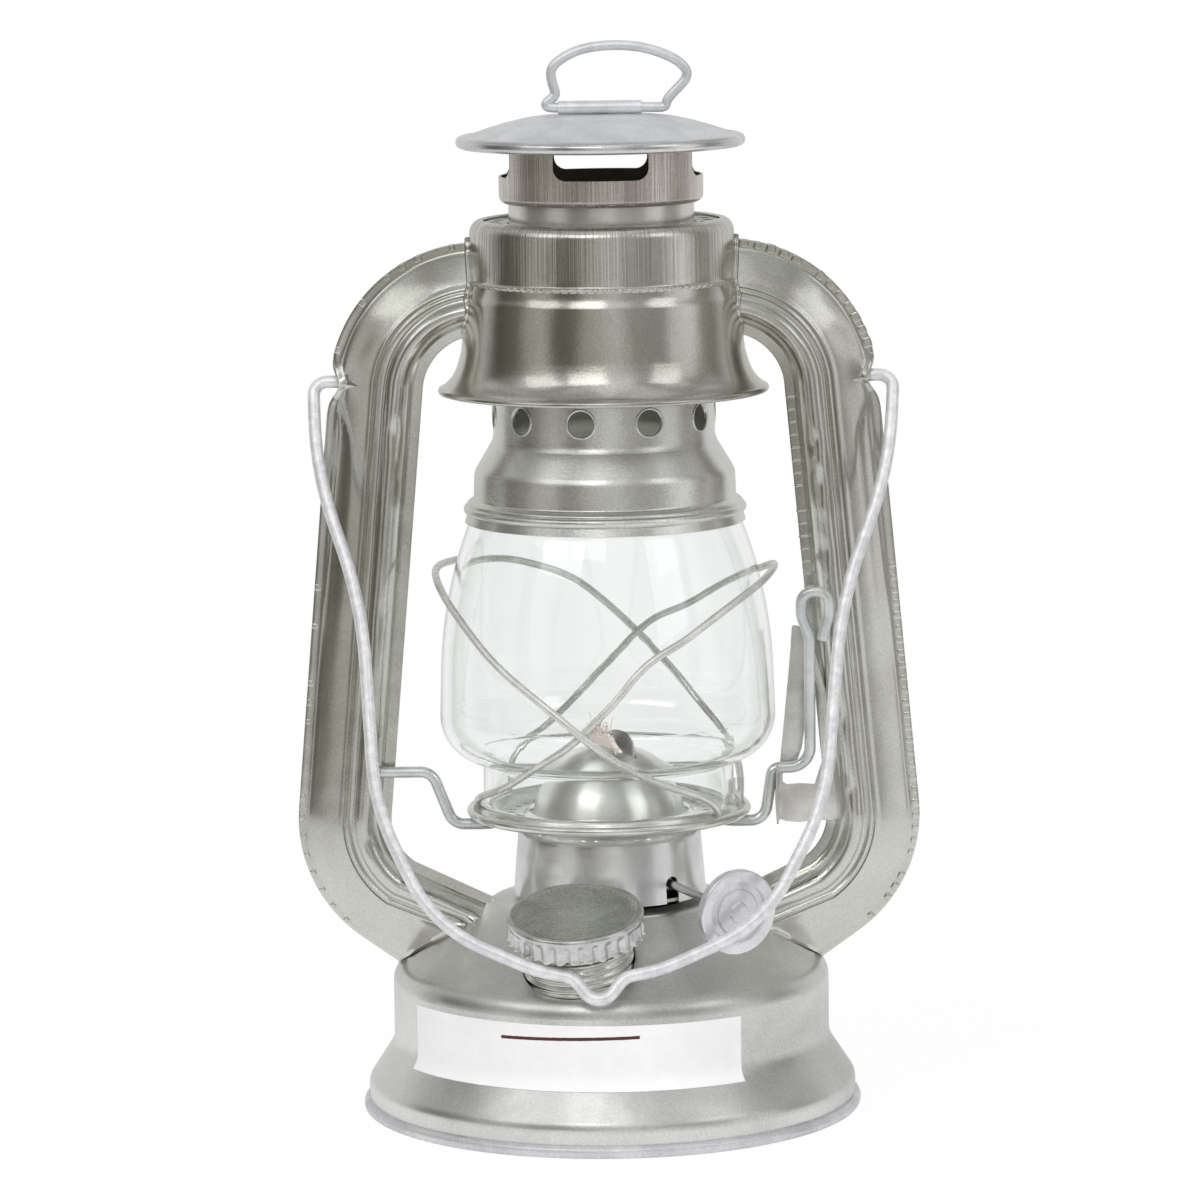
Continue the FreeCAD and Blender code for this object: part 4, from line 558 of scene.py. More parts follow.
def tube_outline(wide, deep):
    """Outer and inner outline of a half: u across the tube and v out from its seam plane."""
    inner = -wide + flange_inner
    outer = wide - flange_outer
    middle = inner + channel_half
    front = [(-wide, tin_wall * 0.7), (-wide + 0.3, tin_wall), (inner - 0.7, tin_wall), (inner - 0.2, 0.5)]
    for degrees in range(170, 42, -8):
        angle = math.radians(degrees)
        front.append((middle + channel_half * math.cos(angle), deep * math.sin(angle)))
    base = middle + channel_half * 0.86
    steps = ((0.0, 1.95), (0.35, 1.75), (0.75, 1.45), (1.1, 1.55), (1.35, 1.95), (1.6, 2.0), (1.95, 1.65),
             (2.3, 1.7), (2.7, 2.15))
    front += [(base + across, deep - drop) for across, drop in steps]
    ridge, edge = front[-1], (outer - 0.3, 0.95)
    for part in (0.1, 0.22, 0.36, 0.5, 0.64, 0.78, 0.9):
        sag = 0.35 * math.sin(math.pi * part)
        front.append((ridge[0] + (edge[0] - ridge[0]) * part, ridge[1] + (edge[1] - ridge[1]) * part + sag))
    front += [edge, (outer, 0.62), (outer + 0.4, 0.45), (outer + 1.0, tin_wall),
              (wide - 0.9, tin_wall), (wide - 0.25, tin_wall), (wide, tin_wall * 0.7)]
    rear = [(wide, 0.02), (outer, 0.04), (ridge[0], ridge[1] - 0.5), (base, deep - 2.5)]
    for degrees in range(48, 172, 16):
        angle = math.radians(degrees)
        rear.append((middle + (channel_half - 0.4) * math.cos(angle), (deep - 0.4) * math.sin(angle)))
    rear += [(inner + 0.3, 0.04), (-wide, 0.02)]
    return front, rear


def tube_press(u, v, up, dents):
    """What the press, the bail's notch and the bending did to a point of the outline."""
    gap = up - bail_up
    edge = smooth_step(4.0, half_width, u)
    u -= notch_deep * bump_at(gap, -0.6, 3.4) * edge * edge
    if u > 5.6 and abs(gap) < bail_hole:
        v = max(v, math.sqrt(bail_hole ** 2 - gap ** 2) + (tin_wall if v > 0.2 else 0.0))
    v += boss_proud * bump_at(gap, 0.8, 4.2) * bump_at(u, 8.6, 2.6)
    crease = 9.6 - 4.4 * smooth_step(-3.0, -15.0, gap)
    fade = max(0.0, 1.0 - abs(gap + 3.0) / 70.0) if gap < -3.0 else 0.0
    if v > 0.7:
        sunk = smooth_step(crease - 0.5, crease + 0.9, u) * smooth_step(2.0, 5.0, -gap)
        v = max(v - panel_sink * sunk * fade, 0.55)
    for height, across, depth, spread in dents:
        v += depth * bump_at(up, height, spread) * bump_at(u, across, 2.0) * (1.0 if v > 0.5 else 0.0)
    return u, v


def skin(name, material, rings, closed=True, ends=True, sharp=38.0):
    """A mesh through rings of points, its ends closed, as an object at the origin."""
    shape = bmesh.new()
    rows = [[shape.verts.new(point) for point in ring] for ring in rings]
    for row, following in zip(rows, rows[1:]):
        count = len(row)
        for index in range(count if closed else count - 1):
            after = (index + 1) % count
            shape.faces.new((row[index], row[after], following[after], following[index]))
    if ends and closed:
        shape.faces.new(rows[0])
        shape.faces.new(rows[-1])
    made = finish_mesh(name, shape, sharp)
    made.data.materials.append(material)
    return made


def dome_gap(point):
    """How far a point is above the tank's sloping dome."""
    return point.z - dome_edge[1] - (dome_edge[0] - math.hypot(point.x, point.y)) * dome_rise


def meets_dome(start, end):
    """The point on the way from start to end that lies on the dome."""
    low, high, halvings = 0.0, 1.6, 30
    if dome_gap(start.lerp(end, high)) > 0:
        return start.lerp(end, high)
    for _ in range(halvings):
        middle = (low + high) / 2
        if dome_gap(start.lerp(end, middle)) > 0:
            low = middle
        else:
            high = middle
    return start.lerp(end, low)


def half_tube(hand, side, dents):
    """One pressed half, in metres: hand is 1 on the right and side is 1 at the front."""
    front, rear = tube_outline(half_width, channel_deep)
    outline = front + rear

    def at(station, u, v):
        """The point of a station that lies at (u, v) of the outline."""
        middle, way = station
        return Vector((middle.x - way.y * u, -side * v, middle.y + way.x * u))

    rings = []
    for station in tube_line():
        ring = []
        for u, v in outline:
            press_u, press_v = tube_press(u, v, at(station, u, v).z, dents if side > 0 else ())
            ring.append(at(station, press_u, press_v))
        rings.append(ring)
    slope = Vector((1.0, -dome_rise)).normalized()
    wide_front, wide_rear = tube_outline(foot_half, channel_deep + foot_swell)
    ends = []
    for u, v in wide_front + wide_rear:
        ends.append(Vector((foot_middle[0] + slope.x * u, -side * v, foot_middle[1] + slope.y * u)))
    last = rings[-1]
    landing = [meets_dome(begin, finish) for begin, finish in zip(last, ends)]
    for part in (0.15, 0.3, 0.45, 0.6, 0.75, 0.88, 0.95):
        rings.append([begin.lerp(finish, part) for begin, finish in zip(last, landing)])
    lip, lip_flare, flare_from = [], 0.9, foot_middle[0] + 8.0
    for finish, (u, v) in zip(landing, outline):
        flare = lip_flare if v > 0.2 else 0.0
        out = Vector((finish.x - flare_from, finish.y, 0)).normalized() * flare
        lip.append(Vector((finish.x + out.x * 0.4, finish.y + out.y, finish.z)))
    rings.append(lip)
    return [[Vector((hand * point.x, point.y, point.z)) * mm for point in ring] for ring in rings]


# Small dents in the channels, as (height, across, depth, spread) in millimetres.
channel_dents = {
    1: ((161.0, -6.2, -0.75, 2.2), (157.5, -4.4, 0.5, 2.4), (150.5, -6.0, -0.6, 2.6),
        (146.5, -4.4, 0.4, 3.0), (135.0, -6.0, -0.45, 2.4), (186.0, 5.0, -0.35, 4.0),
        (95.0, -6.4, -0.5, 3.0), (77.0, -5.6, -0.6, 3.0)),
    -1: ((164.0, -5.6, -0.55, 3.0), (170.0, -4.0, 0.35, 3.0), (120.0, -5.8, -0.3, 5.0),
         (66.0, -5.6, -0.5, 3.0), (186.0, 5.0, -0.3, 5.0)),
}
for hand, side_name in ((-1, "left"), (1, "right")):
    for side, face in ((1, "front"), (-1, "rear")):
        rings = half_tube(hand, side, channel_dents[hand])
        half = skin("%s_tube_%s_pressing" % (side_name, face), tube_tin, rings, sharp=50.0)
        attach(half, "frame")
        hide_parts("%s_tube_%s" % (side_name, face))


def tube_frame(hand):
    """A rounded lip that follows the outline of a tube where it meets the hood's wall."""
    lip_wide, lip_deep, lip_corners = 0.62, 0.85, 10
    wall_reach, slope_low, slope_high = 32.5, 196.0, 201.0
    front, _ = tube_outline(half_width, channel_deep)
    front = [point for point in front if point[1] > 0.3]
    loop = [(-half_width - 0.5, 0.0)] + [(u, v + 0.55) for u, v in front[::2]] + [(half_width + 0.5, 0.0)]
    loop += [(u, -v) for u, v in loop[-2:0:-1]]
    centres = []
    for u, v in loop:
        up = tube_top[1] + u
        wall = wall_reach - smooth_step(slope_low, slope_high, up)
        centres.append(Vector((math.sqrt(wall * wall - v * v) + 0.35, v, up)))
    rings = []
    for index, centre in enumerate(centres):
        way = (centres[(index + 1) % len(centres)] - centres[index - 1]).normalized()
        side = way.cross(Vector((1, 0, 0))).normalized()
        out = side.cross(way).normalized()
        ring = []
        for corner in range(lip_corners):
            angle = math.tau * corner / lip_corners
            spot = centre + side * (lip_wide * math.cos(angle)) + out * (lip_deep * math.sin(angle))
            ring.append(Vector((hand * spot.x, spot.y, spot.z)) * mm)
        rings.append(ring)
    return rings + rings[:1]


for hand, side_name in ((-1, "left"), (1, "right")):
    lip = skin(side_name + "_tube_lip", tube_tin, tube_frame(hand), ends=False, sharp=80.0)
    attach(lip, "frame")
    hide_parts(side_name + "_tube_collar")


# Crimp marks: little tabs of the rear flange folded over the front one, all along the
# outer seam, and a ladder of fine nips on part of the right tube's inner seam.
def stand_on(points, piece, **placing):
    """End the tree in hand: stand a piece on every point, as real mesh in its finish."""
    placed = step(tree, "InstanceOnPoints", {"Points": points, "Instance": piece, **placing})
    real = step(tree, "RealizeInstances", {0: placed[0]})
    dressed = step(tree, "SetMaterial", {"Geometry": real[0], "Material": given["Finish"]})
    tree.links.new(dressed[0], result[0])


tree, given, result = group("crimp_marks", "GeometryNodeTree", [
    ("Seam line", "Geometry"), ("Spacing", "Float", 0.0034), ("Tab size", "Vector", (0.0004, 0.0016, 0.0022)),
    ("Unevenness", "Float", 0.3), ("Kept", "Float", 0.85), ("Seed", "Int", 3), ("Finish", "Material"),
])
crimp_marks = tree
line = step(tree, "ResampleCurve", {"Curve": given["Seam line"], "Length": given["Spacing"]}, mode="LENGTH")
points = step(tree, "CurveToPoints", {"Curve": line[0]}, mode="EVALUATED")
tab = step(tree, "MeshCube", {"Size": given["Tab size"]})["Mesh"]
pillow = step(tree, "SubdivisionSurface", {"Mesh": tab, "Level": 2, "Edge Crease": 0.55})
pillow = step(tree, "SetShadeSmooth", {0: pillow[0]})
chance = {"Probability": given["Kept"], "Seed": given["Seed"]}
kept = step(tree, "RandomValue", chance, data_type="BOOLEAN")[3]
lowest = math_step(tree, "SUBTRACT", 1.0, given["Unevenness"])
highest = math_step(tree, "ADD", 1.0, given["Unevenness"])
chance = {"Min": lowest, "Max": highest, "Seed": given["Seed"]}
size = step(tree, "RandomValue", chance, data_type="FLOAT_VECTOR")[0]
stand_on(points["Points"], pillow[0], Selection=kept, Rotation=points["Rotation"], Scale=size)


def as_mesh(name, source):
    """Swap a source object for the plain mesh that Blender makes of it."""
    bpy.context.view_layer.update()
    seen = source.evaluated_get(bpy.context.evaluated_depsgraph_get())
    mesh = bpy.data.meshes.new_from_object(seen)
    mesh.name = name
    bpy.data.objects.remove(source)
    made = bpy.data.objects.new(name, mesh)
    scene.collection.objects.link(made)
    return made


def grown(name, source, shared, **values):
    """The plain mesh that a geometry tree makes from a source object."""
    maker = source.modifiers.new("maker", "NODES")
    maker.node_group = shared
    for item in shared.interface.items_tree:
        key = item.name.replace(" ", "_")
        if item.in_out == "INPUT" and key in values:
            maker[item.identifier] = values[key]
    return as_mesh(name, source)


def line_through(name, kind, points):
    """A curve object of one spline through points in millimetres."""
    data = bpy.data.curves.new(name, "CURVE")
    data.dimensions = "3D"
    spline = data.splines.new(kind)
    spline.points.add(len(points) - 1)
    for target, point in zip(spline.points, points):
        target.co = (point[0] * mm, point[1] * mm, point[2] * mm, 1.0)
    made = bpy.data.objects.new(name, data)
    scene.collection.objects.link(made)
    return made


def seam_line(name, hand, u, v, high, low):
    """A curve along a tube's seam between two heights."""
    points = []
    for middle, way in tube_line():
        up = middle.y + way.x * u
        if low < up < high:
            press_u, _ = tube_press(u, 0.3, up, ())
            points.append((hand * (middle.x - way.y * press_u), -v, middle.y + way.x * press_u))
    return line_through(name, "POLY", points)


for name, hand, u, v, high, low, spacing, tab, kept, seed in (
    ("right_seam_tabs_high", 1, 10.3, 0.42, 212.0, 181.0, 3.3, (0.55, 1.9, 2.2), 0.9, 4),
    ("right_seam_tabs_low", 1, 10.3, 0.42, 131.0, 45.0, 3.0, (0.5, 1.5, 1.7), 0.92, 5),
    ("right_seam_ladder", 1, -10.0, 0.40, 172.0, 122.0, 2.9, (0.35, 2.3, 0.55), 0.97, 6),
    ("left_seam_tabs_high", -1, 10.4, 0.40, 209.0, 183.0, 4.2, (0.45, 1.5, 1.6), 0.55, 7),
    ("left_seam_tabs_low", -1, 10.4, 0.40, 160.0, 46.0, 4.6, (0.40, 1.3, 1.5), 0.45, 8),
):
    line = seam_line(name + "_line", hand, u, v, high, low)
    tab = tuple(size * mm for size in tab)
    marks = grown(name, line, crimp_marks, Spacing=spacing * mm, Tab_size=tab, Unevenness=0.22, Kept=kept,
                  Seed=seed, Finish=tube_tin)
    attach(marks, "frame")


# Hood: one drawn shell with a flared skirt, a polished waist, a crimped shoulder line and
# a streaky upper band. The side tubes run into it, and a dull plate closes its top.
hood_low = 173.443
hood_tin = tin("hood_tin", (0.76, 0.75, 0.70), (0.46, 0.44, 0.39), 0.10, Upright_lines=70.0,
               Upright_above=0.2002, Dents=0.10, Cloud_size=20.0, Gloss_spread=0.10, Grain=0.35,
               Round_lines=500.0)
skirt = [(38.2, 0.45), (38.75, 0.05), (39.3, 0.2), (39.55, 0.75), (39.3, 1.3), (38.8, 1.55), (38.45, 1.75)]
flare = [(37.75, 2.3), (36.9, 3.1), (36.1, 4.1), (35.45, 5.2), (34.95, 6.4), (34.6, 7.5), (34.3, 8.5),
         (34.1, 9.3), (33.85, 10.2)]
waist_wall = [(33.65, 12.0), (33.45, 14.0), (33.3, 16.0), (33.15, 18.0), (33.02, 20.0), (32.95, 21.4),
              (32.9, 22.3)]
shoulder = [(32.78, 22.85), (32.5, 23.5), (32.2, 24.3), (31.98, 25.2), (31.85, 26.0), (31.82, 26.35)]
crimp = [(32.05, 26.5), (32.22, 26.7), (32.22, 26.95), (32.05, 27.15), (31.72, 27.3), (31.62, 27.7)]
upper_band = [(31.6, 30.0), (31.57, 33.0), (31.53, 36.0), (31.5, 38.2)]
hood_round = [(31.38, 39.1), (31.05, 39.95), (30.5, 40.7), (29.8, 41.2), (29.0, 41.4), (28.3, 41.4)]
hood_out = skirt + flare + waist_wall + shoulder + crimp + upper_band + hood_round
hood_in = [(28.2, 41.05), (28.9, 41.05), (30.2, 40.4), (31.0, 39.0), (31.15, 38.0), (31.2, 28.0),
           (31.4, 25.0), (32.5, 22.4), (33.3, 15.0), (33.7, 9.4), (34.7, 5.6), (36.5, 2.9), (37.9, 1.5),
           (38.1, 0.9)]
nip_deep, nips_round, waver_deep, wavers_round = 0.16, 96, 0.05, 37


def crimp_nips(radius, height, angle):
    """The pressed line on the shoulder, nipped unevenly by the rolling wheel."""
    if 26.4 < height - hood_low < 27.2 and radius > 31.9:
        radius += nip_deep * math.sin(angle * nips_round) + waver_deep * math.sin(angle * wavers_round)
    return radius, height


def shade_inside(material, color, rough):
    """Darken the faces that look in towards the axis: painted shade for the insides of the dome and the
    crown.
    """
    tree = material.node_tree
    metal = tree.nodes["Principled BSDF"]
    place = step(tree, "TexCoord")["Object"]
    flat = step(tree, "VectorMath", {0: place, 1: (1, 1, 0)}, operation="MULTIPLY")[0]
    normal = step(tree, "NewGeometry")["Normal"]
    facing = step(tree, "VectorMath", {0: flat, 1: normal}, operation="DOT_PRODUCT")["Value"]
    inside = math_step(tree, "LESS_THAN", facing, -0.004)
    for socket, value, kind, first, out in (
        ("Base Color", (*color, 1), "RGBA", 6, 2), ("Roughness", rough, "FLOAT", 2, 0),
    ):
        before = metal.inputs[socket].links[0].from_socket
        blend = step(tree, "Mix", {0: inside, first: before, first + 1: value}, data_type=kind)
        tree.links.new(blend[out], metal.inputs[socket])


hood_profile = [(radius, height + hood_low) for radius, height in hood_out + hood_in]
hood_profile += hood_profile[:1]
hood = lathe("hood_pressing", hood_tin, hood_profile, count=384, shape=crimp_nips, sharp=60.0)
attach(hood, "frame")
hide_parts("hood")
plate_tin = tin("plate_tin", (0.66, 0.66, 0.62), (0.40, 0.40, 0.36), 0.20, Cloud_size=60.0, Dents=0.2)
dress(plate_tin, "hood_top")


# Return spring: a coil between the hood's plate and the chimney, made in two parts: its
# upper turns stay with the frame and its lower turns ride with the globe carriage.
spring_zinc = tin("spring_zinc", (0.62, 0.62, 0.60), (0.36, 0.36, 0.34), 0.28, Cloud_size=200.0, Dents=0.1)
spring_radius, spring_wire, spring_low, spring_high, spring_turns = 24.3, 1.1, 191.2, 213.0, 5
turn_parts, wire_parts = 40, 8


def coil(name, first, last):
    """The turns of the spring from first to last, counted from its lower end."""
    rings = []
    for index in range(int((last - first) * turn_parts) + 1):
        turn = first + index / turn_parts
        out = Vector((math.cos(math.tau * turn), math.sin(math.tau * turn), 0))
        middle = out * spring_radius
        middle.z = spring_low + (spring_high - spring_low) * turn / spring_turns
        ring = []
        for corner in range(wire_parts):
            angle = math.tau * corner / wire_parts
            side = out * math.cos(angle) + Vector((0, 0, math.sin(angle)))
            ring.append((middle + side * spring_wire / 2) * mm)
        rings.append(ring)
    return skin(name, spring_zinc, rings)


for name, first, last, body, joint, lift in (
    ("spring_upper_turns", 2, 5, "frame", "globe_lift", 7.5),
    ("spring_lower_turns", 0, 2, "globe_carriage", "chimney_lift", 5.4),
):
    turns = coil(name, first, last)
    tall = (spring_high - spring_low) * (last - first) / spring_turns
    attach(turns, body)
    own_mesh(turns)
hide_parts("return_spring")


# Burner: a zinc-bright bell with a hole for the wick shaft, over a drawn cone whose slot
# has two turned-up lips. The wick tube inside it carries a flat cotton wick.
bell_tin = tin("bell_tin", (0.98, 0.98, 0.99), (0.80, 0.80, 0.81), 0.12, metal=0.82,
               Cloud_size=55.0, Dents=0.35, Gloss_spread=0.16)
cone_tin = tin("cone_tin", (0.90, 0.90, 0.87), (0.64, 0.64, 0.60), 0.26, stretch=0.85,
               Round_lines=1400.0, Dents=0.06)
burner_tin = tin("burner_tin", (0.70, 0.69, 0.64), (0.44, 0.43, 0.38), 0.24, Cloud_size=50.0)
# The right lip's dark tin is soot together with painted shade on the side of the flap that turns from the
# light.
sooty_tin = tin("sooty_tin", (0.36, 0.35, 0.34), (0.14, 0.14, 0.13), 0.30, Cloud_size=160.0, Dents=0.2)
dress(bell_tin, "burner_bell")
dress(burner_tin, "burner_collar", "burner_body", "wick_tube", "shaft_bearing", "tank_deck")
cone_foot, cone_radius, cone_wall, lip_stand = 68.293, 18.55, 0.35, 1.65
wick_turn = Matrix.Rotation(math.radians(-60.0), 4, "Z")


def bend_corner(before, corner, after, bend, parts=6):
    """The points that round off one corner of an outline."""
    corner = Vector(corner)
    first = (Vector(before) - corner).normalized() * bend
    last = (Vector(after) - corner).normalized() * bend
    spots = [index / parts for index in range(parts + 1)]
    return [tuple(corner + first * (1 - part) ** 2 + last * part ** 2) for part in spots]


cone_side = (cone_radius - 0.7, cone_foot + 8.4)
cone_shoulder = (9.5, cone_foot + 17.4)
cone_top = (0.0, cone_foot + 19.7)
outside = [(cone_radius, cone_foot), (cone_radius, cone_foot + 1.6), (cone_radius - 0.25, cone_foot + 2.0)]
outside += bend_corner(outside[-1], cone_side, cone_shoulder, 4.6)
outside += bend_corner(cone_side, cone_shoulder, cone_top, 3.2)
outside += [(5.5, cone_foot + 18.7), (3.0, cone_foot + 19.3)]
inside = [(max(radius - cone_wall, 0.2), height - cone_wall * 0.7) for radius, height in outside[::-1]]
outline = outside + [(0.9, cone_foot + 19.6), (0.9, cone_foot + 19.2)] + inside[:-1]
outline += [(cone_radius - cone_wall, cone_foot), outside[0]]
cone = lathe("burner_cone_pressing", cone_tin, outline, count=128, sharp=40.0)
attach(cone, "frame")
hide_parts("burner_cone")


def cone_height(radius):
    """Height of the cone's outer face at a radius, read off its own outline."""
    for (r1, h1), (r2, h2) in zip(outside, outside[1:]):
        if r2 <= radius <= r1:
            return h1 + (h2 - h1) * (r1 - radius) / max(r1 - r2, 1e-6)
    return outside[-1][1]


def thicken(piece, thickness):
    """Give a bare sheet its thickness, in millimetres, half of it to each side."""
    wall = piece.modifiers.new("wall", "SOLIDIFY")
    wall.thickness = thickness * mm
    wall.offset = 0.0


lip_rows, lip_columns = 8, 24
for side, side_name, lip_from, lip_to, lip_peak, lip_top, lip_tin in (
    (-1, "left", -7.4, 7.4, 0.0, 89.6, cone_tin), (1, "right", -6.2, 10.0, 2.0, 91.6, sooty_tin),
):
    rows = []
    for step_up in range(lip_rows + 1):
        part = step_up / lip_rows
        row = []
        for index in range(lip_columns + 1):
            along = lip_from + (lip_to - lip_from) * index / lip_columns
            reach = (lip_to if along > lip_peak else lip_from) - lip_peak
            low = cone_height(math.hypot(along, lip_stand)) - 0.25
            high = low + (lip_top - low) * max(1 - abs((along - lip_peak) / reach) ** 2.6, 0.02)
            out = lip_stand - 0.3 + 0.9 * part ** 1.5
            row.append(wick_turn @ Vector((along, side * out, low + (high - low) * part)) * mm)
        rows.append(row)
    lip = skin("cone_lip_" + side_name, lip_tin, rows, closed=False, ends=False)
    thicken(lip, cone_wall)
    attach(lip, "frame")


# Wick: a flat woven cotton ribbon that hangs down through its tube into the tank, with a
# frayed, pinkish-white top that stands in the cone's slot and leans back a little.
wick_half, wick_thick, wick_low, wick_high = 7.4, 0.95, 14.0, 91.0
wick_rings, wick_corners, wick_lean = 40, 20, 2.4
cotton, tree, place = start_material("wick_cotton")
turned = step(tree, "Mapping", {"Vector": place, "Rotation": (0, 0, math.radians(60.0))})[0]
inputs = {"Vector": turned, "Scale": 420.0, "Distortion": 1.2, "Detail": 2.0}
ribs = step(tree, "TexWave", inputs, bands_direction="X")["Fac"]
inputs = {"Vector": turned, "Scale": 260.0, "Distortion": 1.0, "Detail": 2.0}
picks = step(tree, "TexWave", inputs, bands_direction="Z")["Fac"]
stain = math_step(tree, "MULTIPLY", noise(tree, place, 260.0, 4.0), 0.75)
threads = math_step(tree, "MULTIPLY", ribs, picks)
tone = math_step(tree, "MULTIPLY_ADD", threads, 0.35, stain)
thread_color = ramp(tree, tone, [
    (0.15, (0.74, 0.60, 0.55)), (0.40, (0.90, 0.79, 0.73)), (0.70, (0.97, 0.92, 0.88)),
])
weave = step(tree, "Bump", {"Strength": 0.8, "Distance": 0.0003, "Height": threads})[0]
cloth = step(tree, "BsdfPrincipled", {
    "Base Color": thread_color, "Roughness": 0.9, "Sheen Weight": 0.3, "Normal": weave,
})
step(tree, "OutputMaterial", {"Surface": cloth[0]})
ribbon_rings = []
for index in range(wick_rings):
    height = wick_low + (wick_high - wick_low) * (index / (wick_rings - 1))
    lean = wick_lean * smooth_step(84.5, wick_high, height)
    ring = []
    for corner in range(wick_corners):
        angle = math.tau * corner / wick_corners
        across = math.copysign(abs(math.cos(angle)) ** 0.35, math.cos(angle)) * wick_half
        deep = math.copysign(abs(math.sin(angle)) ** 0.6, math.sin(angle)) * wick_thick
        ragged = dice.uniform(-0.9, 0.9) if index == wick_rings - 1 else 0.0
        ring.append(wick_turn @ Vector((across * (1 - 0.10 * lean), deep - lean, height + ragged)) * mm)
    ribbon_rings.append(ring)
ribbon = skin("wick_ribbon_cotton", cotton, ribbon_rings, sharp=60.0)


# The frayed top: bent threads that stand on the faces of a small patch.
tree, given, result = group("frayed_threads", "GeometryNodeTree", [
    ("Top", "Geometry"), ("Threads per area", "Float", 2.6e6), ("Thread radius", "Float", 0.00014),
    ("Splay", "Float", 0.55), ("Seed", "Int", 5), ("Finish", "Material"),
])
density = {"Mesh": given["Top"], "Density": given["Threads per area"], "Seed": given["Seed"]}
points = step(tree, "DistributePointsOnFaces", density)["Points"]
arc = step(tree, "CurveQuadraticBezier", {
    "Resolution": 6, "Start": (0, 0, -0.0012), "Middle": (0.0002, 0, 0.0022), "End": (0.0016, 0.0004, 0.0036),
})
section = step(tree, "CurvePrimitiveCircle", {"Resolution": 4, "Radius": given["Thread radius"]})
thread = step(tree, "CurveToMesh", {"Curve": arc[0], "Profile Curve": section[0], "Fill Caps": True})
back = math_step(tree, "MULTIPLY", given["Splay"], -1.0)
low = step(tree, "CombineXYZ", {"X": back, "Y": back})
high = step(tree, "CombineXYZ", {"X": given["Splay"], "Y": given["Splay"], "Z": math.tau})
chance = {"Min": low[0], "Max": high[0], "Seed": given["Seed"]}
turn = step(tree, "RandomValue", chance, data_type="FLOAT_VECTOR")[0]
size = step(tree, "RandomValue", {2: 0.45, 3: 1.15, "Seed": given["Seed"]})[1]
stand_on(points, thread[0], Rotation=turn, Scale=size)
patch = bmesh.new()
for across, deep in ((-1, -1), (1, -1), (1, 1), (-1, 1)):
    corner = Vector((across * wick_half * 0.60, deep * wick_thick * 0.8 - wick_lean, wick_high))
    patch.verts.new(wick_turn @ corner * mm)
patch.faces.new(patch.verts)
frays = grown("wick_fray", finish_mesh("wick_fray_patch", patch), tree, Seed=11, Finish=cotton)
for piece in (ribbon, frays):
    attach(piece, "wick_ribbon")
    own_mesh(piece)
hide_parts("wick")


# Wick raiser: a thin shaft with two toothed wheels inside the burner and a stamped zinc
# knob outside it, which winds the wick up and down.
knob_zinc = tin("knob_zinc", (0.97, 0.97, 1.0), (0.66, 0.66, 0.70), 0.20, metal=0.85,
                Cloud_size=140.0, Dents=0.05, Round_lines=0.0)
shaft_zinc = tin("shaft_zinc", (0.80, 0.81, 0.82), (0.56, 0.57, 0.58), 0.22, Cloud_size=160.0, Dents=0.1)
dress(knob_zinc, "raiser_knob")
dress(shaft_zinc, "raiser_shaft", "raiser_sprockets")


# Globe carriage: a perforated plate with a rolled edge, the pressed glass globe on it, a
# spring clip, and two bent wires that cross in front of the glass and behind it.
plate_rim_tin = tin("plate_rim_tin", (0.92, 0.93, 0.90), (0.64, 0.65, 0.60), 0.15, metal=0.94,
                    Cloud_size=90.0, Dents=0.4)
dress(plate_rim_tin, "globe_plate", "globe_clip")


def rolled(reach, up, roll, first, last):
    """The points of a rolled edge round (reach, up), every 20 degrees, clockwise from first."""
    turns = [math.radians(turn) for turn in range(first, last, -20)]
    return [(reach + roll * math.cos(turn), up + roll * math.sin(turn)) for turn in turns]


edge_line = [(31.2, 73.9), (31.7, 73.1), *rolled(33.1, 72.5, 1.1, 140, -141), (31.9, 72.2), (31.25, 72.9)]
plate_edge = lathe("globe_plate_rolled_edge", plate_rim_tin, edge_line, count=160, sharp=60.0)
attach(plate_edge, "globe_carriage")
globe_glass, tree, place = start_material("globe_glass")
drawn = step(tree, "Mapping", {"Vector": place, "Scale": (30.0, 30.0, 9.0)})[0]
wave = noise(tree, drawn, 1.0, 2.0, 0.4)
rolling = step(tree, "Bump", {"Strength": 0.10, "Distance": 0.002, "Height": wave})[0]
edge = step(tree, "LayerWeight", {"Blend": 0.35})["Facing"]
tint = ramp(tree, edge, [
    (0.0, (0.955, 0.965, 0.960)), (0.70, (0.93, 0.945, 0.935)), (1.0, (0.62, 0.68, 0.60)),
])
clear = step(tree, "BsdfPrincipled", {
    "Base Color": tint, "Roughness": 0.015, "IOR": 1.47, "Transmission Weight": 1.0, "Normal": rolling,
})
let_by = step(tree, "BsdfTransparent", {"Color": (0.97, 0.98, 0.97, 1)})
rays = step(tree, "LightPath")
deep = math_step(tree, "GREATER_THAN", rays["Ray Depth"], 5.5)
passed = math_step(tree, "MAXIMUM", rays["Is Shadow Ray"], deep)
both = step(tree, "MixShader", {0: passed, 1: clear[0], 2: let_by[0]})
step(tree, "OutputMaterial", {"Surface": both[0]})
dress(globe_glass, "globe")


def wire(name, points, thickness, material):
    """A bent wire: a round tube along a NURBS line whose control points are in millimetres."""
    source = line_through(name, "NURBS", points)
    source.data.bevel_depth = thickness / 2 * mm
    source.data.bevel_resolution = 5
    source.data.use_fill_caps = True
    source.data.resolution_u = 8
    source.data.splines[0].order_u = 4
    source.data.splines[0].use_endpoint_u = True
    made = as_mesh(name, source)
    made.data.materials.clear()
    made.data.materials.append(material)
    made.data.shade_smooth()
    return made


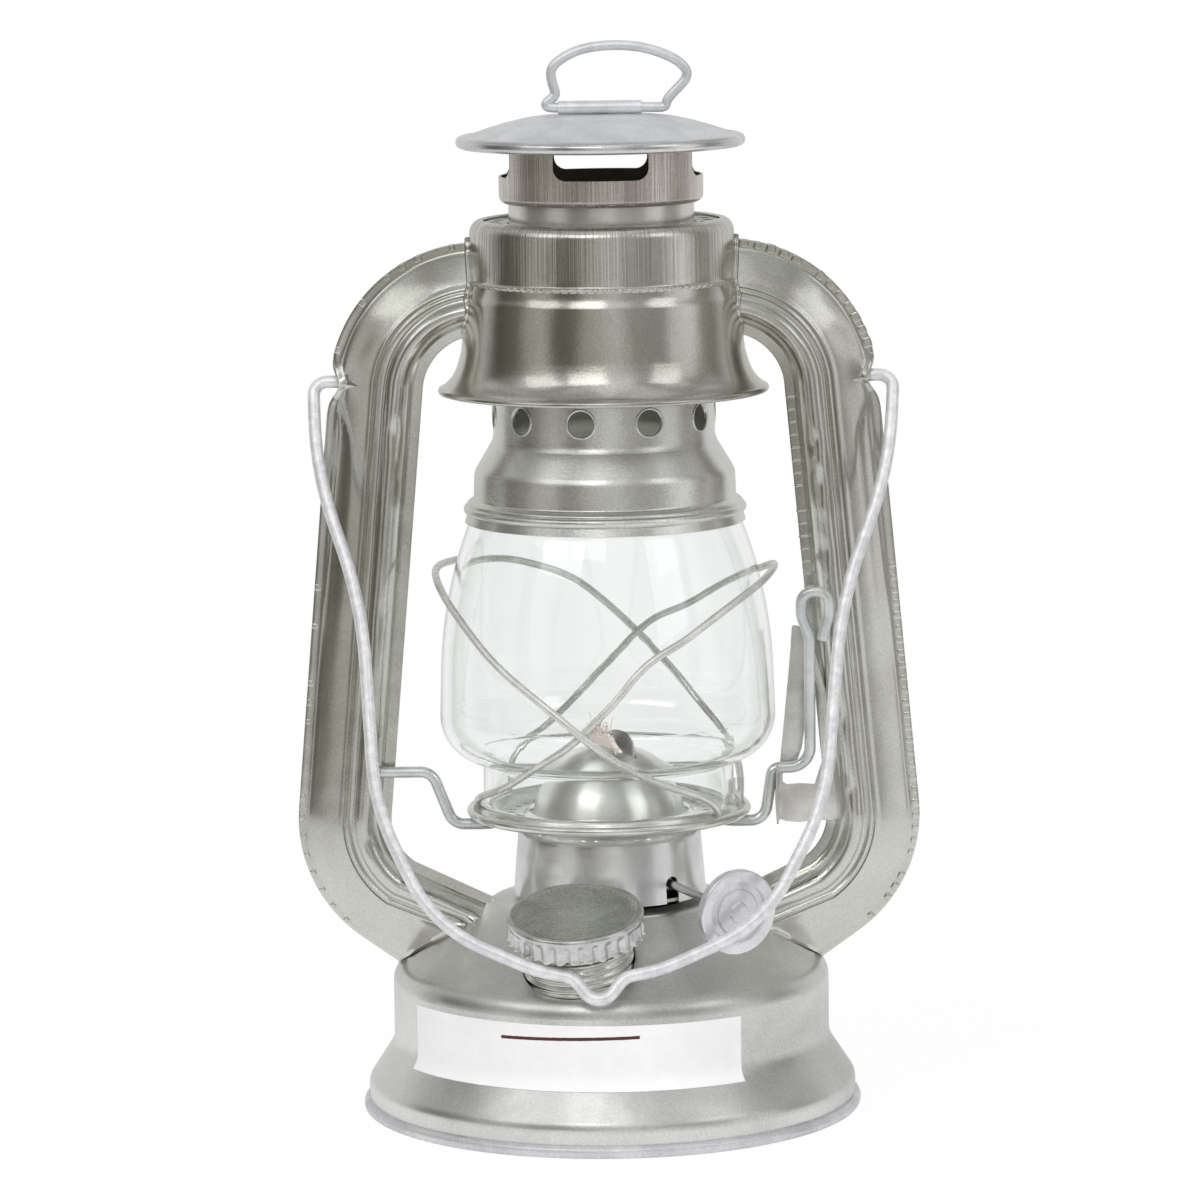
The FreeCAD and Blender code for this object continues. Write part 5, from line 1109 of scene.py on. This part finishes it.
guard_zinc = tin("guard_zinc", (0.84, 0.84, 0.82), (0.60, 0.60, 0.57), 0.18, metal=0.60,
                 Cloud_size=220.0, Dents=0.15)
left_guard = [
    (26.1, -18.0, 71.6), (26.1, -18.6, 74.0), (25.6, -20.6, 76.6), (20.8, -24.6, 79.8),
    (15.2, -28.4, 82.0), (9.9, -31.8, 84.5), (4.3, -37.1, 88.2), (-0.8, -42.4, 92.4),
    (-5.6, -43.6, 96.4), (-12.7, -41.6, 102.3), (-21.6, -35.9, 108.7), (-27.2, -31.1, 113.4),
    (-31.1, -26.8, 117.6), (-34.7, -21.4, 121.8), (-37.6, -16.0, 125.1), (-40.2, -8.0, 128.6),
    (-41.3, 1.0, 130.7), (-40.0, 9.0, 131.2), (-37.5, 16.0, 131.0), (-33.5, 23.2, 130.9),
    (-29.8, 27.6, 130.5), (-24.0, 33.0, 129.4), (-18.5, 36.4, 127.6), (-9.4, 40.4, 124.2),
    (-4.0, 41.8, 120.2), (1.4, 42.6, 115.5), (6.8, 42.6, 110.4), (11.4, 41.4, 105.8),
    (15.0, 39.6, 102.2), (18.6, 38.0, 98.2), (22.3, 35.2, 94.0), (26.0, 29.6, 90.0), (29.0, 21.6, 87.2),
    (31.8, 12.0, 81.5), (32.0, 5.0, 76.5), (31.6, 2.7, 74.0), (31.6, 2.5, 71.6),
]
right_guard = [
    (-31.6, -2.5, 71.6), (-31.8, -3.0, 74.0), (-31.6, -6.0, 76.4), (-29.5, -12.2, 78.2),
    (-24.9, -20.0, 81.0), (-21.3, -24.5, 83.9), (-16.7, -33.0, 88.4), (-12.1, -38.6, 91.9),
    (-7.7, -41.2, 95.4), (-3.3, -42.0, 99.9), (0.2, -41.9, 103.3), (3.7, -41.6, 107.1),
    (6.3, -41.0, 110.5), (9.8, -40.1, 113.8), (13.4, -39.0, 116.0), (17.8, -37.1, 118.1),
    (22.2, -34.4, 121.1), (27.5, -30.2, 124.4), (32.0, -25.4, 127.0), (36.8, -18.0, 129.4),
    (39.7, -9.5, 131.2), (40.6, -1.0, 131.6), (40.0, 7.0, 130.6), (38.0, 14.8, 128.7),
    (35.0, 21.0, 126.7), (28.8, 29.0, 122.8), (23.4, 33.7, 118.8), (18.9, 36.7, 116.1),
    (14.2, 38.8, 114.3), (10.5, 40.0, 112.0), (7.3, 40.7, 109.4), (3.1, 41.6, 104.7),
    (-1.5, 42.0, 100.1), (-5.2, 41.7, 96.5), (-9.0, 39.9, 92.7), (-12.2, 36.8, 90.0),
    (-15.4, 31.6, 87.6), (-19.9, 26.0, 84.9), (-23.6, 21.6, 81.4), (-25.6, 19.0, 76.8),
    (-26.1, 18.1, 74.0), (-26.1, 18.0, 71.6),
]
for side_name, points in (("left", left_guard), ("right", right_guard)):
    guard = wire(side_name + "_guard_bent_wire", points, 1.8, guard_zinc)
    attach(guard, "globe_carriage")
    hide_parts(side_name + "_guard_wire")


# Chimney: a perforated dome over the glass, a flue tube, a slotted crown and a domed cap
# with a small hinge tube that carries the lifting ring, all of thin tinplate.
dome_tin = tin("dome_tin", (0.92, 0.92, 0.89), (0.62, 0.62, 0.58), 0.18, metal=0.92,
               Cloud_size=30.0, Dents=0.04, Grain=0.45)
# Painted shade on the dome's faces that look in towards the axis.
shade_inside(dome_tin, (0.42, 0.43, 0.37), 0.5)
flue_tin = tin("flue_tin", (0.92, 0.90, 0.88), (0.66, 0.64, 0.60), 0.12, metal=0.80,
               Cloud_size=24.0, Dents=0.14, Grain=0.35)
crown_tin = tin("crown_tin", (0.88, 0.84, 0.79), (0.48, 0.43, 0.40), 0.16, metal=0.90,
                Upright_lines=80.0, Upright_above=0.2185, Dents=0.12, Grain=0.40)
cap_zinc = tin("cap_zinc", (0.84, 0.85, 0.87), (0.62, 0.63, 0.65), 0.26, metal=0.65,
               Cloud_size=90.0, Dents=0.12, Grain=0.5)
# Painted shade, almost black, on the crown's inner faces, seen through its slots.
shade_inside(crown_tin, (0.12, 0.105, 0.08), 0.5)
dress(dome_tin, "globe_dome")
dress(flue_tin, "chimney_tube")
dress(crown_tin, "crown")
disc_up, disc_wall, disc_roll, roll_from = 239.481, 0.42, 1.42, 31.4
disc_top = [(radius, disc_up - drop) for radius, drop in (
    (0.0, 0.0), (8.0, 0.05), (14.0, 0.25), (18.0, 0.75), (23.0, 1.9), (27.5, 3.25), (30.2, 4.2), (31.3, 4.75),
    (31.9, 4.9),
)]
disc_rim = rolled(33.0, disc_up - 6.2, disc_roll, 120, -221)
disc_under = [(radius - 0.1, height - disc_wall) for radius, height in disc_top[-2:0:-1]]
disc_under.append((0.0, disc_up - disc_wall))
disc = lathe("crown_cap_pressing", cap_zinc, disc_top + disc_rim + disc_under, count=160, sharp=50.0)
roll_zinc = tin("roll_zinc", (0.90, 0.91, 0.92), (0.58, 0.59, 0.61), 0.12, metal=0.95,
                Cloud_size=60.0, Dents=0.10)
disc.data.materials.append(roll_zinc)
for face in disc.data.polygons:
    if math.hypot(face.center.x, face.center.y) > roll_from * mm:
        face.material_index = 1
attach(disc, "chimney")
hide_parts("crown_cap")


# The raised rims of the dome's holes, pressed round them in a ring.
tree, given, result = group("pressed_rims", "GeometryNodeTree", [
    ("Seed mesh", "Geometry"), ("Holes", "Int", 10), ("Reach", "Float", 0.0262), ("Height", "Float", 0.0),
    ("Phase", "Float", 0.0), ("Hole radius", "Float", 0.0032), ("Rim radius", "Float", 0.0003),
    ("Finish", "Material"),
])
spots = step(tree, "MeshCircle", {"Vertices": given["Holes"], "Radius": given["Reach"]})
lift = step(tree, "CombineXYZ", {"Z": given["Height"]})
phase = step(tree, "CombineXYZ", {"Z": given["Phase"]})
moved = step(tree, "Transform", {"Geometry": spots[0], "Translation": lift[0], "Rotation": phase[0]})
bead_line = step(tree, "CurvePrimitiveCircle", {"Resolution": 32, "Radius": given["Hole radius"]})
bead = step(tree, "CurvePrimitiveCircle", {"Resolution": 8, "Radius": given["Rim radius"]})
rim = step(tree, "CurveToMesh", {"Curve": bead_line[0], "Profile Curve": bead[0]})
rim = step(tree, "SetShadeSmooth", {"Geometry": rim[0]})
middle = step(tree, "InputPosition")
flat = step(tree, "VectorMath", {0: middle[0], 1: (1, 1, 0)}, operation="MULTIPLY")
face_out = step(tree, "AlignRotationToVector", {"Vector": flat[0]}, axis="Z")
stand_on(moved[0], rim[0], Rotation=face_out[0])
rims = grown("dome_hole_rims", finish_mesh("rim_seed", bmesh.new()), tree, Holes=10, Reach=0.02622,
             Height=0.168393, Phase=math.radians(-66.0), Hole_radius=0.0034, Rim_radius=0.00032,
             Finish=dome_tin)
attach(rims, "chimney")
ring_zinc = tin("ring_zinc", (0.88, 0.89, 0.92), (0.60, 0.62, 0.65), 0.22, metal=0.6,
                Cloud_size=160.0, Dents=0.10)
dress(ring_zinc, "ring_hinge")


# Lifting ring: one springy wire, waisted at both feet, whose ends meet in the hinge tube.
# Its loop reaches further to the right than to the left.
ring_up = 241.131
ring_points = [
    (-1.0, ring_up), (-6.0, ring_up), (-10.0, ring_up), (-12.6, ring_up + 0.1), (-13.0, 242.2),
    (-11.4, 243.3), (-10.4, 244.2), (-10.7, 245.4), (-11.2, 247.0), (-11.6, 248.6), (-11.5, 250.2),
    (-10.5, 251.6), (-8.6, 253.0), (-5.6, 254.6), (-1.2, 255.6), (4.6, 255.9), (10.2, 255.3),
    (15.0, 253.8), (18.8, 251.9), (20.9, 249.6), (20.6, 247.6), (19.0, 246.0), (17.2, 244.2),
    (15.8, 242.6), (15.7, 241.4), (15.0, ring_up - 0.2), (12.0, ring_up - 0.1), (8.0, ring_up),
    (4.0, ring_up), (0.0, ring_up),
]
loop = wire("lifting_ring", [(across, 0.0, up) for across, up in ring_points], 2.4, ring_zinc)
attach(loop, "ring")
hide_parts("top_ring")


# Lift lever: one bent wire with a hoop under the globe plate. It turns in the left tube
# and in a bracket of thin plate, cut with fine shear lines, clinched on the right tube.
lever_zinc = tin("lever_zinc", (0.84, 0.86, 0.85), (0.56, 0.59, 0.58), 0.24, metal=0.75,
                 Cloud_size=120.0, Dents=0.15)
dress(lever_zinc, "lift_lever")
bracket_tin = tin("bracket_tin", (0.92, 0.91, 0.88), (0.60, 0.60, 0.56), 0.30, Round_lines=2200.0,
                  Cloud_size=90.0, Dents=0.30)
bracket_wall, bracket_forward = 0.4, 0.72
bracket_rim = [
    (44.4, 116.3), (45.0, 116.6), (48.2, 115.9), (49.2, 113.0), (51.3, 105.2), (53.4, 96.8),
    (54.3, 88.0), (55.4, 85.6), (56.3, 84.2), (56.5, 82.0), (56.6, 75.0), (56.3, 69.2), (53.0, 68.9),
    (49.6, 69.1), (46.0, 68.6), (42.6, 68.9), (41.0, 69.5), (40.3, 73.6), (40.6, 79.0), (41.2, 82.6),
    (42.2, 92.0), (43.3, 103.0), (44.1, 111.5),
]
bracket_window = [
    (49.0, 107.4), (48.0, 96.0), (46.6, 87.0), (45.4, 83.4), (42.8, 81.8), (41.9, 80.2), (41.9, 78.6),
    (42.8, 77.9), (46.0, 78.1), (49.6, 77.9), (50.6, 81.0), (52.3, 86.0), (52.2, 92.0), (50.6, 101.0),
]
plate = bmesh.new()
loops = []
for outline in (bracket_rim, bracket_window):
    corners = [plate.verts.new((across * mm, 0.0, up * mm)) for across, up in outline]
    loops += [plate.edges.new((corners[index - 1], corners[index])) for index in range(len(corners))]
bmesh.ops.triangle_fill(plate, edges=loops, use_beauty=True)
bracket_plate = finish_mesh("lever_bracket_plate", plate)
bracket_plate.data.transform(Matrix.Translation((0, -bracket_forward * mm, 0)))
thicken(bracket_plate, bracket_wall)
soft = bracket_plate.modifiers.new("soft_edges", "BEVEL")
soft.width = 0.12 * mm
soft.segments = 2
ear_low, ear_high, ear_across = 69, 83, 40.55
ear_rows = []
for up in range(ear_low, ear_high + 1):
    bend = 0.35 * math.sin((up - ear_low) / (ear_high - ear_low) * math.pi)
    ear_rows.append([Vector((ear_across - bend + 0.45 * smooth_step(3.0, 0.0, deep), -deep, up)) * mm
                     for deep in (0.6, 1.4, 2.2, 3.0, 3.8, 4.6, 5.4)])
bracket_ear = skin("lever_bracket_ear", bracket_tin, ear_rows, closed=False, ends=False)
thicken(bracket_ear, bracket_wall)
bracket_plate.data.materials.append(bracket_tin)
for piece in (bracket_plate, bracket_ear):
    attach(piece, "frame")
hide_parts("lever_bracket")


# Bail: the carrying handle, one stout zinc plated wire whose plating is whiter and full of
# small grey specks. Its ends turn in the seams of the side tubes.
bail_zinc = tin("bail_zinc", (0.93, 0.93, 0.95), (0.62, 0.62, 0.65), 0.26, metal=0.45,
                Cloud_size=380.0, Dents=0.10, Grain=0.30)
dress(bail_zinc, "bail")
